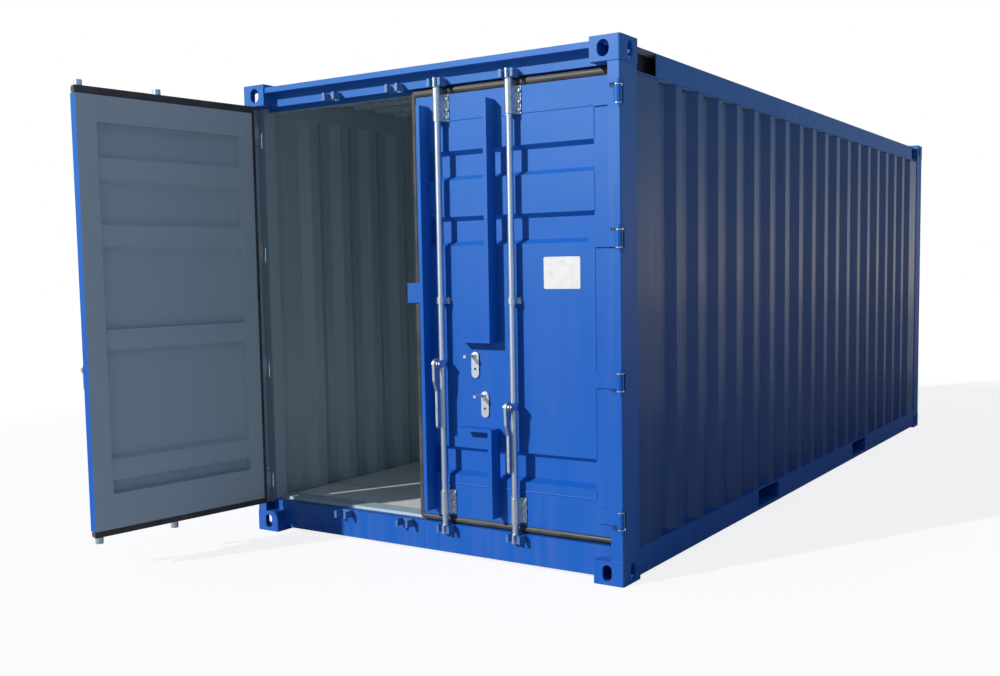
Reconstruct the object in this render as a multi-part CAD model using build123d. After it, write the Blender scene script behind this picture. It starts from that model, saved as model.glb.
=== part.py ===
"""Twenty foot steel freight container with double doors and lock rods, in millimetres.

X runs across the width, with the right hand door at +X. Y runs along the length, with the door end at
-Y. Z is up, and the origin is on the ground in the middle of the footprint. The left door stands open.
Door pieces are drawn closed on the right hand side, and the left ones are mirrored and swung open.
"""

import math
import os

from build123d import *

# Overall sizes

LENGTH = 6058.0
WIDTH = 2438.0
HEIGHT = 2591.0
OVERRUN = 20.0  # how far a cut runs past the solid it cuts
RUNNING_GAP = 6.0  # least space between a moving edge and its neighbour
SHEET = 2.0  # wall, roof and door sheets

# Corner castings

CASTING_WIDTH = 162.0
CASTING_LENGTH = 178.0
CASTING_HEIGHT = 118.0
CASTING_PLATE = 28.5  # the wall with the twistlock slot
CASTING_WALL = 16.0
CASTING_EDGE_RADIUS = 12.0
SLOT_LENGTH = 124.0
SLOT_WIDTH = 63.5
SLOT_INSET_X = 89.5  # slot centre from the side face
SLOT_INSET_Y = 102.5  # slot centre from the end face
FACE_HOLE_HEIGHT = 79.5
FACE_HOLE_WIDTH = 51.0
TOP_END_HOLE_WIDTH = 63.5

# Posts

POST_FACE = 68.0  # width seen from the door end
POST_WALL = 6.0
POST_SETBACK = 4.0  # behind the castings' outer faces
REAR_POST_FACE = 120.0
REAR_POST_LIP = 50.0

# Header and sill at the door end

HEADER_RISE = 3.0  # opening's top below the top castings
HEADER_TOP_DROP = 19.0  # header lip below the castings' tops
HEADER_WALL = 5.0
STOP_DROP = 19.0  # door stop below the header
LIP_HEIGHT = 30.0
LIP_SETBACK = 8.0
LIP_WALL = 4.0
BEAM_FACE_DEPTH = 72.0  # header and sill faces behind the castings' front
SILL_RISE = 54.0  # opening's bottom above the bottom castings
SILL_BOTTOM = 17.0
SILL_WALL = 6.0
THRESHOLD_RISE = 14.0  # threshold above the opening's bottom
THRESHOLD_LAP = 60.0  # how far the threshold lies over the boards

# Rails and the beams at the closed end

RAIL_SETBACK = 4.0
BOTTOM_RAIL_LOW = 17.0
BOTTOM_RAIL_FLANGE = 47.0
BOTTOM_RAIL_WALL = 4.5
TOP_RAIL_DROP = 35.0  # rail's top below the castings' tops
TOP_RAIL_HEIGHT = 116.0
TOP_RAIL_WIDTH = 60.0
TOP_RAIL_WALL = 4.0
TOP_RAIL_RECESS = 211.0  # open stretch beside each casting
REAR_BEAM_SETBACK = 6.0
REAR_BEAM_WIDTH = 60.0

# Walls and roof

WALL_PITCH = 278.0
WALL_MARGIN = 210.0  # flat stretch at each end of a side wall
WALL_OUTER_FLAT = 72.0
WALL_SLOPE = 68.0
WALL_DEPTH = 36.0
WALL_FACE_SETBACK = 8.0
END_PITCH = 290.0
END_MARGIN = 84.0
END_OUTER_FLAT = 110.0
END_SLOPE = 30.0
END_DEPTH = 45.0
END_FACE_SETBACK = 12.0
ROOF_PITCH = 209.0
ROOF_MARGIN = 29.5
ROOF_CREST = 91.0
ROOF_SLOPE = 14.0
ROOF_DEPTH = 20.0
ROOF_LAP = 10.0  # roof sheet over the top rails

# Floor, floor beams and forklift pockets

FLOOR_STEP = 3.0  # boards above the sill
FLOOR_THICKNESS = 28.0
BEAM_HEIGHT = 110.0
BEAM_FLANGE = 45.0
BEAM_WALL = 4.0
BEAM_PITCH = 300.0
BEAM_PLAY = 0.5  # beams below the rail's top flange
POCKET_SPACING = 2050.0
POCKET_LENGTH = 360.0
POCKET_HEIGHT = 104.0
POCKET_WALL = 5.0

# Door leaves

FACE_DEPTH = 85.0  # door face behind the castings' front
LEAF_THICKNESS = 50.0
SEAM_OFFSET = 68.0  # the seam between the leaves lies this far left of the middle
SEAM_GAP = 10.0
SEAM_SEAL = 34.0
HINGE_SEAL = 25.0
TOP_SEAL = 40.0
BOTTOM_SEAL = 34.0
GASKET_DEPTH = 32.0
GASKET_FLARE = 5.0  # how far the seal narrows towards its front
GASKET_SINK = 9.0  # seal front behind the leaf face
LEAF_STILE = 86.0
FREE_STILE = 106.0  # sheet's free side from the seam gap
LEAF_TOP_RAIL = 134.0
LEAF_BOTTOM_RAIL = 180.0
LEAF_WALL = 4.0
GROOVE_CENTRE_SHARES = (0.835, 0.682, 0.137)
GROOVE_HEIGHT = 150.0
GROOVE_SLOPE = 22.0
GROOVE_DEPTH = 34.0
STIFFENER_CENTRE_SHARE = 0.441
STIFFENER_HEIGHT = 106.0
STIFFENER_DEPTH = 30.0
LEFT_DOOR_OPEN = 97.5  # degrees from closed, in the rest pose

# Hinges

PIN_INSET = 26.0  # pin axis from the castings' side face
PIN_DEPTH = 24.0  # pin axis behind the castings' front
PIN_RADIUS = 11.0
PIN_FIT = 0.05
HINGE_SHARES = (0.954, 0.653, 0.347, 0.046)
KNUCKLE_HEIGHT = 76.0
KNUCKLE_RADIUS = 19.0
BLADE_THICKNESS = 10.0
BLADE_LEG = 18.0
BLADE_REACH = 118.0  # how far the blade lies over the leaf
BLADE_TIP = 40.0  # height of the blade's tapered tip
BLADE_TAPER = 38.0
NOTCH_HEIGHT = 130.0
NOTCH_PAST_PIN = 17.0
LUG_THICKNESS = 18.0
LUG_RADIUS = 14.0

# Lock rods and their brackets

ROD_X = (139.0, 581.0)
ROD_DEPTH = 44.0  # rod axis behind the castings' front
ROD_RADIUS = 17.0
ROD_PAST_TOP = 34.0  # rod's ends past the opening
ROD_PAST_BOTTOM = 43.0
STRAP_WALL = 6.0
SLEEVE_REACH = 46.0
SLEEVE_TOP_HEIGHT = 167.0
SLEEVE_TOP_RISE = 28.0  # above the leaf's top
SLEEVE_BOTTOM_HEIGHT = 129.0
SLEEVE_BOTTOM_RISE = 18.0  # above the leaf's bottom
GUIDE_REACH = 30.0
GUIDE_HEIGHT = 34.0
GUIDE_CENTRE_SHARE = 0.520
CAM_HEIGHT = 46.0
CAM_LENGTH = 30.0
CAM_ROOT_RADIUS = 20.0
CAM_TIP_RADIUS = 9.0

# Keepers

KEEPER_HALF_WIDTH = 36.0  # inside, from the rod's middle
KEEPER_HEIGHT = 40.0
KEEPER_PLATE = 6.0
KEEPER_BACK = 4.0
KEEPER_LIP_GAP = 26.0  # lip's edge from the rod's middle
KEEPER_LIP_REACH = 30.0  # front of the lips before the rod's middle

# Handles and their catches

HANDLE_PIVOT_SHARES = (0.3716, 0.2794)
HANDLE_LENGTH = 340.0
HANDLE_THICKNESS = 14.0
HANDLE_HUB_RADIUS = 30.0
HANDLE_NECK_DROP = 88.0
HANDLE_NECK_SHIFT = 12.0
HANDLE_BEND_DROP = 140.0
HANDLE_BEND_SHIFT = 8.0
HANDLE_GRIP_RADIUS = 15.0
PIVOT_REACH = 52.0  # handle pivot in front of the rod axis
PIVOT_RADIUS = 7.0
CLEVIS_THICKNESS = 8.0
CLEVIS_RADIUS = 20.0
CLEVIS_PLAY = 0.3
CATCH_X = (325.0, 383.0)
CATCH_DROP = 5.0  # catch centre below the handle pivot
CATCH_WIDTH = 46.0
CATCH_HEIGHT = 136.0
CATCH_PLATE = 8.0
CATCH_HOLE_RADIUS = 7.0
CATCH_HOLE_SHARES = (0.34, -0.16)
CATCH_ARM_REACH = 80.0
CATCH_ARM_WIDTH = 16.0
CATCH_ARM_HEIGHT = 14.0

# Snag guards and the overlap tab

FIN_X = (50.0, 467.0)
FIN_THICKNESS = 8.0
FIN_LIP = 22.0
FIN_SETBACK = 6.0
FIN_LOW_RISE = 31.0
FIN_HIGH_DROP = 52.0
FIN_GAP_SHARES = (0.2229, 0.4236)
SHELF_LEFT = 255.0
SHELF_LIP = 15.0
TAB_LEFT = 103.0  # tab's far edge left of the middle
TAB_CENTRE_SHARE = 0.538
TAB_HEIGHT = 105.0
TAB_THICKNESS = 8.0

# Worked out from the sizes above

HALF_LENGTH = LENGTH / 2
HALF_WIDTH = WIDTH / 2
FRONT = -HALF_LENGTH
BACK = HALF_LENGTH
CASTING_Y = HALF_LENGTH - CASTING_LENGTH
CASTING_X = HALF_WIDTH - CASTING_WIDTH
POST_INNER = HALF_WIDTH - POST_FACE
POST_LOW = CASTING_HEIGHT
POST_HIGH = HEIGHT - CASTING_HEIGHT
OPENING_BOTTOM = POST_LOW + SILL_RISE
OPENING_TOP = POST_HIGH - HEADER_RISE
HEADER_TOP = HEIGHT - HEADER_TOP_DROP
TOP_RAIL_HIGH = HEIGHT - TOP_RAIL_DROP
TOP_RAIL_LOW = TOP_RAIL_HIGH - TOP_RAIL_HEIGHT
FLOOR_TOP = OPENING_BOTTOM + FLOOR_STEP
FLOOR_LOW = FLOOR_TOP - FLOOR_THICKNESS
BOTTOM_RAIL_HIGH = FLOOR_LOW + BEAM_PLAY + BOTTOM_RAIL_WALL
POCKET_LOW = FLOOR_LOW - POCKET_WALL - POCKET_HEIGHT
FACE_Y = FRONT + FACE_DEPTH
LEAF_BACK_Y = FACE_Y + LEAF_THICKNESS
LEAF_BOTTOM = OPENING_BOTTOM + RUNNING_GAP + BOTTOM_SEAL
LEAF_TOP = OPENING_TOP - RUNNING_GAP - TOP_SEAL
LEAF_HEIGHT = LEAF_TOP - LEAF_BOTTOM
LEAF_HINGE_EDGE = POST_INNER - RUNNING_GAP - HINGE_SEAL
RIGHT_SEAL_EDGE = SEAM_GAP / 2 - SEAM_OFFSET
LEFT_SEAL_EDGE = SEAM_GAP / 2 + SEAM_OFFSET
RIGHT_FREE_EDGE = RIGHT_SEAL_EDGE + SEAM_SEAL
LEFT_FREE_EDGE = LEFT_SEAL_EDGE  # no seal there, as the right leaf's one closes against it
THRESHOLD_Y = FACE_Y + GASKET_SINK + GASKET_DEPTH + RUNNING_GAP
PIN_X = HALF_WIDTH - PIN_INSET
PIN_Y = FRONT + PIN_DEPTH
ROD_Y = FRONT + ROD_DEPTH
ROD_BOTTOM = OPENING_BOTTOM - ROD_PAST_BOTTOM
ROD_TOP = OPENING_TOP + ROD_PAST_TOP
PIVOT_Y = ROD_Y - PIVOT_REACH
FIN_FRONT = FRONT + FIN_SETBACK


def leaf_z(share):
    """The height at a share of the way up a leaf."""
    return LEAF_BOTTOM + share * LEAF_HEIGHT


HINGE_CENTRES = [leaf_z(share) for share in HINGE_SHARES]
HANDLE_PIVOTS = [leaf_z(share) for share in HANDLE_PIVOT_SHARES]


def block(x0, x1, y0, y1, z0, z1):
    """A box between two corners."""
    size = Box(x1 - x0, y1 - y0, z1 - z0)
    return Pos((x0 + x1) / 2, (y0 + y1) / 2, (z0 + z1) / 2) * size


def tube_block(x0, x1, y0, y1, z0, z1, wall, along):
    """A box with open ends along one axis and walls of one thickness."""
    shell = block(x0, x1, y0, y1, z0, z1)
    inset = {"x": (-OVERRUN, wall, wall), "y": (wall, -OVERRUN, wall), "z": (wall, wall, -OVERRUN)}[along]
    dx, dy, dz = inset
    return shell - block(x0 + dx, x1 - dx, y0 + dy, y1 - dy, z0 + dz, z1 - dz)


def rod_z(x, y, z0, z1, radius):
    """An upright cylinder."""
    return Pos(x, y, (z0 + z1) / 2) * Cylinder(radius, z1 - z0)


def rod_x(x0, x1, y, z, radius):
    """A cylinder across the width."""
    return Pos((x0 + x1) / 2, y, z) * Rot(0, 90, 0) * Cylinder(radius, x1 - x0)


def mirror_x(piece):
    """The same piece on the other side of the middle plane."""
    return mirror(piece, about=Plane.YZ)


def mirror_y(piece):
    """The same piece at the other end."""
    return mirror(piece, about=Plane.XZ)


def both_sides(piece):
    """A right hand piece and its mirror image, as separate solids."""
    return Compound(children=[piece, mirror_x(piece)])


def slab(face, plane, amount):
    """A flat face laid on a plane and made that thick along the plane's normal."""
    return extrude(plane * face, amount, dir=plane.z_dir)


def outline_slab(points, plane, amount):
    """A closed outline on a plane, made that thick along the plane's normal."""
    return slab(make_face(Polyline(*points, close=True)), plane, amount)


def link_face(start, end, start_radius, end_radius):
    """Two discs joined by their outer tangents, as a link or a lever is cut."""
    across = end[0] - start[0]
    along = end[1] - start[1]
    heading = math.atan2(along, across)
    spread = math.acos((start_radius - end_radius) / math.hypot(across, along))
    corners = []
    for centre, radius, side in (
        (start, start_radius, 1), (end, end_radius, 1), (end, end_radius, -1), (start, start_radius, -1),
    ):
        angle = heading + side * spread
        corners.append((centre[0] + radius * math.cos(angle), centre[1] + radius * math.sin(angle)))
    discs = Pos(*start) * Circle(start_radius) + Pos(*end) * Circle(end_radius)
    return discs + make_face(Polyline(*corners, close=True))


def upright_edge(piece, x, y):
    """The upright edge of a piece that lies nearest to one place."""
    edges = piece.edges().filter_by(Axis.Z)
    return min(edges, key=lambda edge: math.hypot(edge.center().X - x, edge.center().Y - y))


def wave_points(length, margin, pitch, crest, slope, depth):
    """A corrugated sheet's running line as (along, outward) pairs, centred on its length."""
    waves = round((length - margin - margin) / pitch)
    step = (length - margin - margin) / waves
    start = margin - length / 2
    points = [(-length / 2, depth)]
    for index in range(waves):
        here = start + index * step
        points.append((here + crest / 2, depth))
        points.append((here + crest / 2 + slope, 0))
        points.append((here + step - crest / 2 - slope, 0))
        points.append((here + step - crest / 2, depth))
    points.append((length / 2, depth))
    return points


def sheet_outline(points):
    """A closed outline one sheet thick behind a running line."""
    behind = [(along, outward - SHEET) for along, outward in points]
    return points + behind[::-1]


# Corner castings


def casting_slots(top):
    """The cuts in one casting at the door end's right hand corner, as one solid."""
    plate_low = CASTING_WALL if top else CASTING_PLATE
    plate_high = CASTING_PLATE if top else CASTING_WALL
    inner = block(
        CASTING_X + CASTING_WALL, HALF_WIDTH - CASTING_WALL,
        FRONT + CASTING_WALL, -CASTING_Y - CASTING_WALL,
        plate_low, CASTING_HEIGHT - plate_high,
    )
    slot_x = HALF_WIDTH - SLOT_INSET_X
    slot_y = FRONT + SLOT_INSET_Y
    middle = CASTING_HEIGHT / 2
    slot_low = middle if top else -OVERRUN
    twist = slab(Rot(0, 0, 90) * SlotOverall(SLOT_LENGTH, SLOT_WIDTH), Plane.XY, middle + OVERRUN)
    side = slab(Rot(0, 0, 90) * SlotOverall(FACE_HOLE_HEIGHT, FACE_HOLE_WIDTH), Plane.YZ, CASTING_WIDTH)
    end_width = TOP_END_HOLE_WIDTH if top else FACE_HOLE_WIDTH
    end = slab(Rot(0, 0, 90) * SlotOverall(FACE_HOLE_HEIGHT, end_width), Plane.XZ, CASTING_LENGTH)
    cuts = inner + Pos(slot_x, slot_y, slot_low) * twist
    cuts += Pos(slot_x, slot_y, middle) * side
    cuts += Pos(slot_x, slot_y, middle) * end
    return cuts


def casting(top):
    """One hollow corner casting with its three slots."""
    body = block(CASTING_X, HALF_WIDTH, FRONT, -CASTING_Y, 0, CASTING_HEIGHT)
    body = fillet([upright_edge(body, HALF_WIDTH, FRONT)], CASTING_EDGE_RADIUS)
    return body - casting_slots(top)


def four_corners(piece):
    """The same piece at all four corners."""
    right = [piece, mirror_y(piece)]
    return Compound(children=right + [mirror_x(solid) for solid in right])


# Posts and hinge lugs


def front_post():
    """The right hand post at the door end: a folded plate in front of a tube, notched for the hinges."""
    outer = HALF_WIDTH - POST_SETBACK
    face = FRONT + POST_SETBACK
    post = block(outer - POST_WALL, outer, face, -CASTING_Y, POST_LOW, POST_HIGH)
    post += block(POST_INNER, outer, face, face + POST_WALL, POST_LOW, POST_HIGH)
    post += tube_block(
        POST_INNER, outer - POST_WALL, FACE_Y + GASKET_SINK, -CASTING_Y, POST_LOW, POST_HIGH, POST_WALL, "z")
    post = fillet([upright_edge(post, outer, face)], POST_WALL)
    for centre in HINGE_CENTRES:
        post -= block(
            POST_INNER - OVERRUN, HALF_WIDTH + OVERRUN,
            FRONT - OVERRUN, PIN_Y + NOTCH_PAST_PIN,
            centre - NOTCH_HEIGHT / 2, centre + NOTCH_HEIGHT / 2,
        )
    return post


def hinge_lug(low):
    """One lug plate, rounded off at the post's corner."""
    outer = HALF_WIDTH - POST_SETBACK
    face = FRONT + POST_SETBACK
    plate = block(POST_INNER, outer, face, PIN_Y + NOTCH_PAST_PIN, low, low + LUG_THICKNESS)
    return fillet([upright_edge(plate, outer, face)], LUG_RADIUS)


def hinge_lugs():
    """Two lug plates and a pin in each notch of the right hand post."""
    solids = []
    for centre in HINGE_CENTRES:
        low = centre - NOTCH_HEIGHT / 2
        high = centre + NOTCH_HEIGHT / 2
        pin = rod_z(PIN_X, PIN_Y, low, high, PIN_RADIUS)
        solids.append(hinge_lug(low) + hinge_lug(high - LUG_THICKNESS) + pin)
    return Compound(children=solids)


def rear_post():
    """The right hand post at the closed end, folded from plate and open towards the inside."""
    inner = HALF_WIDTH - REAR_POST_FACE
    outer = HALF_WIDTH - POST_SETBACK
    back = BACK - POST_SETBACK
    post = tube_block(inner, outer, CASTING_Y, back, POST_LOW, POST_HIGH, POST_WALL, "z")
    return post - block(
        inner - OVERRUN, outer - REAR_POST_LIP, CASTING_Y - OVERRUN, back - REAR_POST_LIP,
        POST_LOW - OVERRUN, POST_HIGH + OVERRUN,
    )


# Header, sill and rails


def door_header():
    """The beam over the doors, with a lip tube forward along its top and a stop bar behind the seals."""
    face = FRONT + BEAM_FACE_DEPTH
    lip_low = HEADER_TOP - LIP_HEIGHT
    beam = tube_block(-CASTING_X, CASTING_X, face, -CASTING_Y, OPENING_TOP, lip_low, HEADER_WALL, "x")
    lip = tube_block(-CASTING_X, CASTING_X, FRONT + LIP_SETBACK, -CASTING_Y, lip_low, HEADER_TOP, LIP_WALL, "x")
    shoulder = block(CASTING_X, POST_INNER, face, -CASTING_Y, OPENING_TOP, POST_HIGH)
    stop = block(-POST_INNER, POST_INNER, THRESHOLD_Y, -CASTING_Y, OPENING_TOP - STOP_DROP, OPENING_TOP)
    return beam + lip + shoulder + mirror_x(shoulder) + stop


def door_sill():
    """The beam under the doors, with a shoulder over each bottom casting and a threshold behind the seals."""
    face = FRONT + BEAM_FACE_DEPTH
    beam = tube_block(-CASTING_X, CASTING_X, face, -CASTING_Y, SILL_BOTTOM, OPENING_BOTTOM, SILL_WALL, "x")
    shoulder = tube_block(CASTING_X, POST_INNER, face, -CASTING_Y, POST_LOW, OPENING_BOTTOM, SILL_WALL, "x")
    high = OPENING_BOTTOM + THRESHOLD_RISE
    threshold = block(-POST_INNER, POST_INNER, THRESHOLD_Y, -CASTING_Y, OPENING_BOTTOM, high)
    lap = block(-POST_INNER, POST_INNER, -CASTING_Y, THRESHOLD_LAP - CASTING_Y, FLOOR_TOP, high)
    return beam + shoulder + mirror_x(shoulder) + threshold + lap


def pocket_span(side):
    """The near and far end of one forklift pocket, outside its walls."""
    middle = side * POCKET_SPACING / 2
    half = POCKET_LENGTH / 2 + POCKET_WALL
    return middle - half, middle + half


def bottom_rail():
    """The right hand channel along the bottom, cut for the forklift pockets."""
    outer = HALF_WIDTH - RAIL_SETBACK
    inner = outer - BOTTOM_RAIL_FLANGE
    rail = block(inner, outer, -CASTING_Y, CASTING_Y, BOTTOM_RAIL_LOW, BOTTOM_RAIL_HIGH)
    rail -= block(
        inner - OVERRUN, outer - BOTTOM_RAIL_WALL, -CASTING_Y - OVERRUN, CASTING_Y + OVERRUN,
        BOTTOM_RAIL_LOW + BOTTOM_RAIL_WALL, BOTTOM_RAIL_HIGH - BOTTOM_RAIL_WALL,
    )
    for side in (-1, 1):
        near, far = pocket_span(side)
        rail -= block(inner - OVERRUN, outer + OVERRUN, near, far, POCKET_LOW - POCKET_WALL, FLOOR_LOW)
    return rail


def top_rail():
    """The right hand deep rail along the top, with its outer wall left away beside the castings."""
    outer = HALF_WIDTH - RAIL_SETBACK
    rail = tube_block(
        outer - TOP_RAIL_WIDTH, outer, -CASTING_Y, CASTING_Y, TOP_RAIL_LOW, TOP_RAIL_HIGH, TOP_RAIL_WALL, "y")
    recess = block(
        outer - TOP_RAIL_WALL - TOP_RAIL_WALL, outer + OVERRUN,
        -CASTING_Y - OVERRUN, TOP_RAIL_RECESS - CASTING_Y,
        TOP_RAIL_LOW + TOP_RAIL_WALL, TOP_RAIL_HIGH - TOP_RAIL_WALL,
    )
    return rail - recess - mirror_y(recess)


def rear_beam(low, high, wall):
    """A tube across the closed end between the castings."""
    back = BACK - REAR_BEAM_SETBACK
    return tube_block(-CASTING_X, CASTING_X, back - REAR_BEAM_WIDTH, back, low, high, wall, "x")


# Walls, roof and floor


def side_wall():
    """The right hand corrugated wall with a flat margin at each end."""
    line = wave_points(2 * CASTING_Y, WALL_MARGIN, WALL_PITCH, WALL_OUTER_FLAT, WALL_SLOPE, WALL_DEPTH)
    base = HALF_WIDTH - WALL_FACE_SETBACK - WALL_DEPTH
    outline = [(base + outward, along) for along, outward in sheet_outline(line)]
    return outline_slab(outline, Plane.XY.offset(BOTTOM_RAIL_HIGH), TOP_RAIL_LOW - BOTTOM_RAIL_HIGH)


def rear_wall():
    """The corrugated wall at the closed end."""
    span = 2 * (HALF_WIDTH - REAR_POST_FACE)
    line = wave_points(span, END_MARGIN, END_PITCH, END_OUTER_FLAT, END_SLOPE, END_DEPTH)
    base = BACK - END_FACE_SETBACK - END_DEPTH
    outline = [(along, base + outward) for along, outward in sheet_outline(line)]
    return outline_slab(outline, Plane.XY.offset(BOTTOM_RAIL_HIGH), POST_HIGH - BOTTOM_RAIL_HIGH)


def roof():
    """The roof sheet, corrugated across the width with closed crest ends, and a flat strip at the closed end."""
    line = wave_points(2 * CASTING_Y, ROOF_MARGIN, ROOF_PITCH, ROOF_CREST, ROOF_SLOPE, ROOF_DEPTH)
    first = line[1][0] - ROOF_CREST / 2 - ROOF_SLOPE
    line = [(-CASTING_Y, 0), (first, 0), (first + ROOF_SLOPE, ROOF_DEPTH)] + line[1:-1]
    line += [(-first - ROOF_SLOPE, ROOF_DEPTH), (-first, 0), (CASTING_Y, 0)]
    level = TOP_RAIL_HIGH + SHEET
    outline = [(along, level + outward) for along, outward in sheet_outline(line)]
    half = HALF_WIDTH - RAIL_SETBACK - TOP_RAIL_WIDTH + ROOF_LAP
    sheet = outline_slab(outline, Plane.YZ.offset(-half), half * 2)
    crests = [(along, level + outward) for along, outward in line]
    closed = crests + [(CASTING_Y, TOP_RAIL_HIGH), (-CASTING_Y, TOP_RAIL_HIGH)]
    sheet += outline_slab(closed, Plane.YZ.offset(-half), SHEET)
    sheet += outline_slab(closed, Plane.YZ.offset(half - SHEET), SHEET)
    rear = BACK - REAR_BEAM_SETBACK - REAR_BEAM_WIDTH / 2
    return sheet + block(-CASTING_X, CASTING_X, CASTING_Y, rear, TOP_RAIL_HIGH, level)


def floor_deck():
    """The floor boards."""
    half = HALF_WIDTH - RAIL_SETBACK - BOTTOM_RAIL_FLANGE
    deck = block(-half, half, -CASTING_Y, CASTING_Y, FLOOR_LOW, FLOOR_TOP)
    rear_half = HALF_WIDTH - REAR_POST_FACE
    rear = BACK - REAR_BEAM_SETBACK - REAR_BEAM_WIDTH
    return deck + block(-rear_half, rear_half, CASTING_Y, rear, FLOOR_LOW, FLOOR_TOP)


def floor_beams():
    """Channel beams under the floor, left out where the forklift pockets run."""
    half = HALF_WIDTH - RAIL_SETBACK - BOTTOM_RAIL_WALL
    low = FLOOR_LOW - BEAM_HEIGHT
    count = int((2 * CASTING_Y) // BEAM_PITCH)
    solids = []
    for index in range(count):
        y = (index - (count - 1) / 2) * BEAM_PITCH
        if any(pocket_span(side)[0] < y + BEAM_FLANGE and y < pocket_span(side)[1] for side in (-1, 1)):
            continue
        beam = block(-half, half, y, y + BEAM_FLANGE, low, FLOOR_LOW)
        beam -= block(
            -half - OVERRUN, half + OVERRUN, y + BEAM_WALL, y + BEAM_FLANGE + OVERRUN,
            low + BEAM_WALL, FLOOR_LOW - BEAM_WALL,
        )
        solids.append(beam)
    return Compound(children=solids)


def forklift_pockets():
    """The two tunnels for forklift tines."""
    half = HALF_WIDTH - RAIL_SETBACK
    tunnels = []
    for side in (-1, 1):
        near, far = pocket_span(side)
        tunnels.append(tube_block(-half, half, near, far, POCKET_LOW - POCKET_WALL, FLOOR_LOW, POCKET_WALL, "x"))
    return Compound(children=tunnels)


# Keepers for the lock rod cams


def keeper(x, low):
    """One keeper: a channel round the cam, open to the front between two lips."""
    face = FRONT + BEAM_FACE_DEPTH
    front = ROD_Y - KEEPER_LIP_REACH
    half = KEEPER_HALF_WIDTH
    outside = block(x - half - KEEPER_PLATE, x + half + KEEPER_PLATE, front, face, low, low + KEEPER_HEIGHT)
    inside = block(
        x - half, x + half, front + KEEPER_PLATE, face - KEEPER_BACK, low - OVERRUN, low + KEEPER_HEIGHT + OVERRUN)
    mouth = block(
        x - KEEPER_LIP_GAP, x + KEEPER_LIP_GAP, front - OVERRUN, face - KEEPER_BACK,
        low - OVERRUN, low + KEEPER_HEIGHT + OVERRUN)
    return outside - inside - mouth


def keepers(cam_low):
    """The four keepers round the cams of one level."""
    low = cam_low + CAM_HEIGHT / 2 - KEEPER_HEIGHT / 2
    right = [keeper(x, low) for x in ROD_X]
    return Compound(children=right + [mirror_x(solid) for solid in right])


# Door leaves, drawn closed on the right hand side


def leaf_frame(seal_edge, free_edge):
    """Two upright tubes and two cross tubes round one leaf."""
    left = seal_edge + FREE_STILE
    right = LEAF_HINGE_EDGE - LEAF_STILE
    stile_high = (LEAF_BOTTOM, LEAF_TOP, LEAF_WALL, "z")
    frame = tube_block(right, LEAF_HINGE_EDGE, FACE_Y, LEAF_BACK_Y, *stile_high)
    frame += tube_block(free_edge, left, FACE_Y, LEAF_BACK_Y, *stile_high)
    frame += tube_block(left, right, FACE_Y, LEAF_BACK_Y, LEAF_TOP - LEAF_TOP_RAIL, LEAF_TOP, LEAF_WALL, "x")
    return frame + tube_block(
        left, right, FACE_Y, LEAF_BACK_Y, LEAF_BOTTOM, LEAF_BOTTOM + LEAF_BOTTOM_RAIL, LEAF_WALL, "x")


def leaf_panel(seal_edge):
    """The leaf's sheet with its cross grooves, and the flat channel across its inside."""
    front = [(FACE_Y, LEAF_TOP - LEAF_TOP_RAIL)]
    for share in GROOVE_CENTRE_SHARES:
        upper = leaf_z(share) + GROOVE_HEIGHT / 2
        lower = leaf_z(share) - GROOVE_HEIGHT / 2
        front.append((FACE_Y, upper))
        front.append((FACE_Y + GROOVE_DEPTH, upper - GROOVE_SLOPE))
        front.append((FACE_Y + GROOVE_DEPTH, lower + GROOVE_SLOPE))
        front.append((FACE_Y, lower))
    front.append((FACE_Y, LEAF_BOTTOM + LEAF_BOTTOM_RAIL))
    behind = [(y + SHEET, z) for y, z in front]
    left = seal_edge + FREE_STILE
    right = LEAF_HINGE_EDGE - LEAF_STILE
    sheet = outline_slab(front + behind[::-1], Plane.YZ.offset(left), right - left)
    bar_low = leaf_z(STIFFENER_CENTRE_SHARE) - STIFFENER_HEIGHT / 2
    bar_high = bar_low + STIFFENER_HEIGHT
    bar = block(left, right, FACE_Y + SHEET, FACE_Y + SHEET + STIFFENER_DEPTH, bar_low, bar_high)
    bar -= block(
        left - OVERRUN, right + OVERRUN, FACE_Y + SHEET - OVERRUN, FACE_Y + STIFFENER_DEPTH,
        bar_low + SHEET, bar_high - SHEET,
    )
    return sheet + bar


def leaf_gasket(seal_edge, inner_edge):
    """The rubber seal round the leaf, narrower at its front, with all inside the inner edge left out."""
    left = seal_edge
    right = POST_INNER - RUNNING_GAP
    low = OPENING_BOTTOM + RUNNING_GAP
    high = OPENING_TOP - RUNNING_GAP
    front = FACE_Y + GASKET_SINK
    centre = ((left + right) / 2, 0, (low + high) / 2)
    back_face = Plane.XZ.offset(-front - GASKET_DEPTH) * Rectangle(right - left, high - low)
    front_face = Plane.XZ.offset(-front) * Rectangle(
        right - left - GASKET_FLARE * 2, high - low - GASKET_FLARE * 2)
    ring = Pos(*centre) * loft([front_face, back_face])
    return ring - block(
        inner_edge, LEAF_HINGE_EDGE, front - OVERRUN, front + GASKET_DEPTH + OVERRUN,
        LEAF_BOTTOM, LEAF_TOP)


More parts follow.
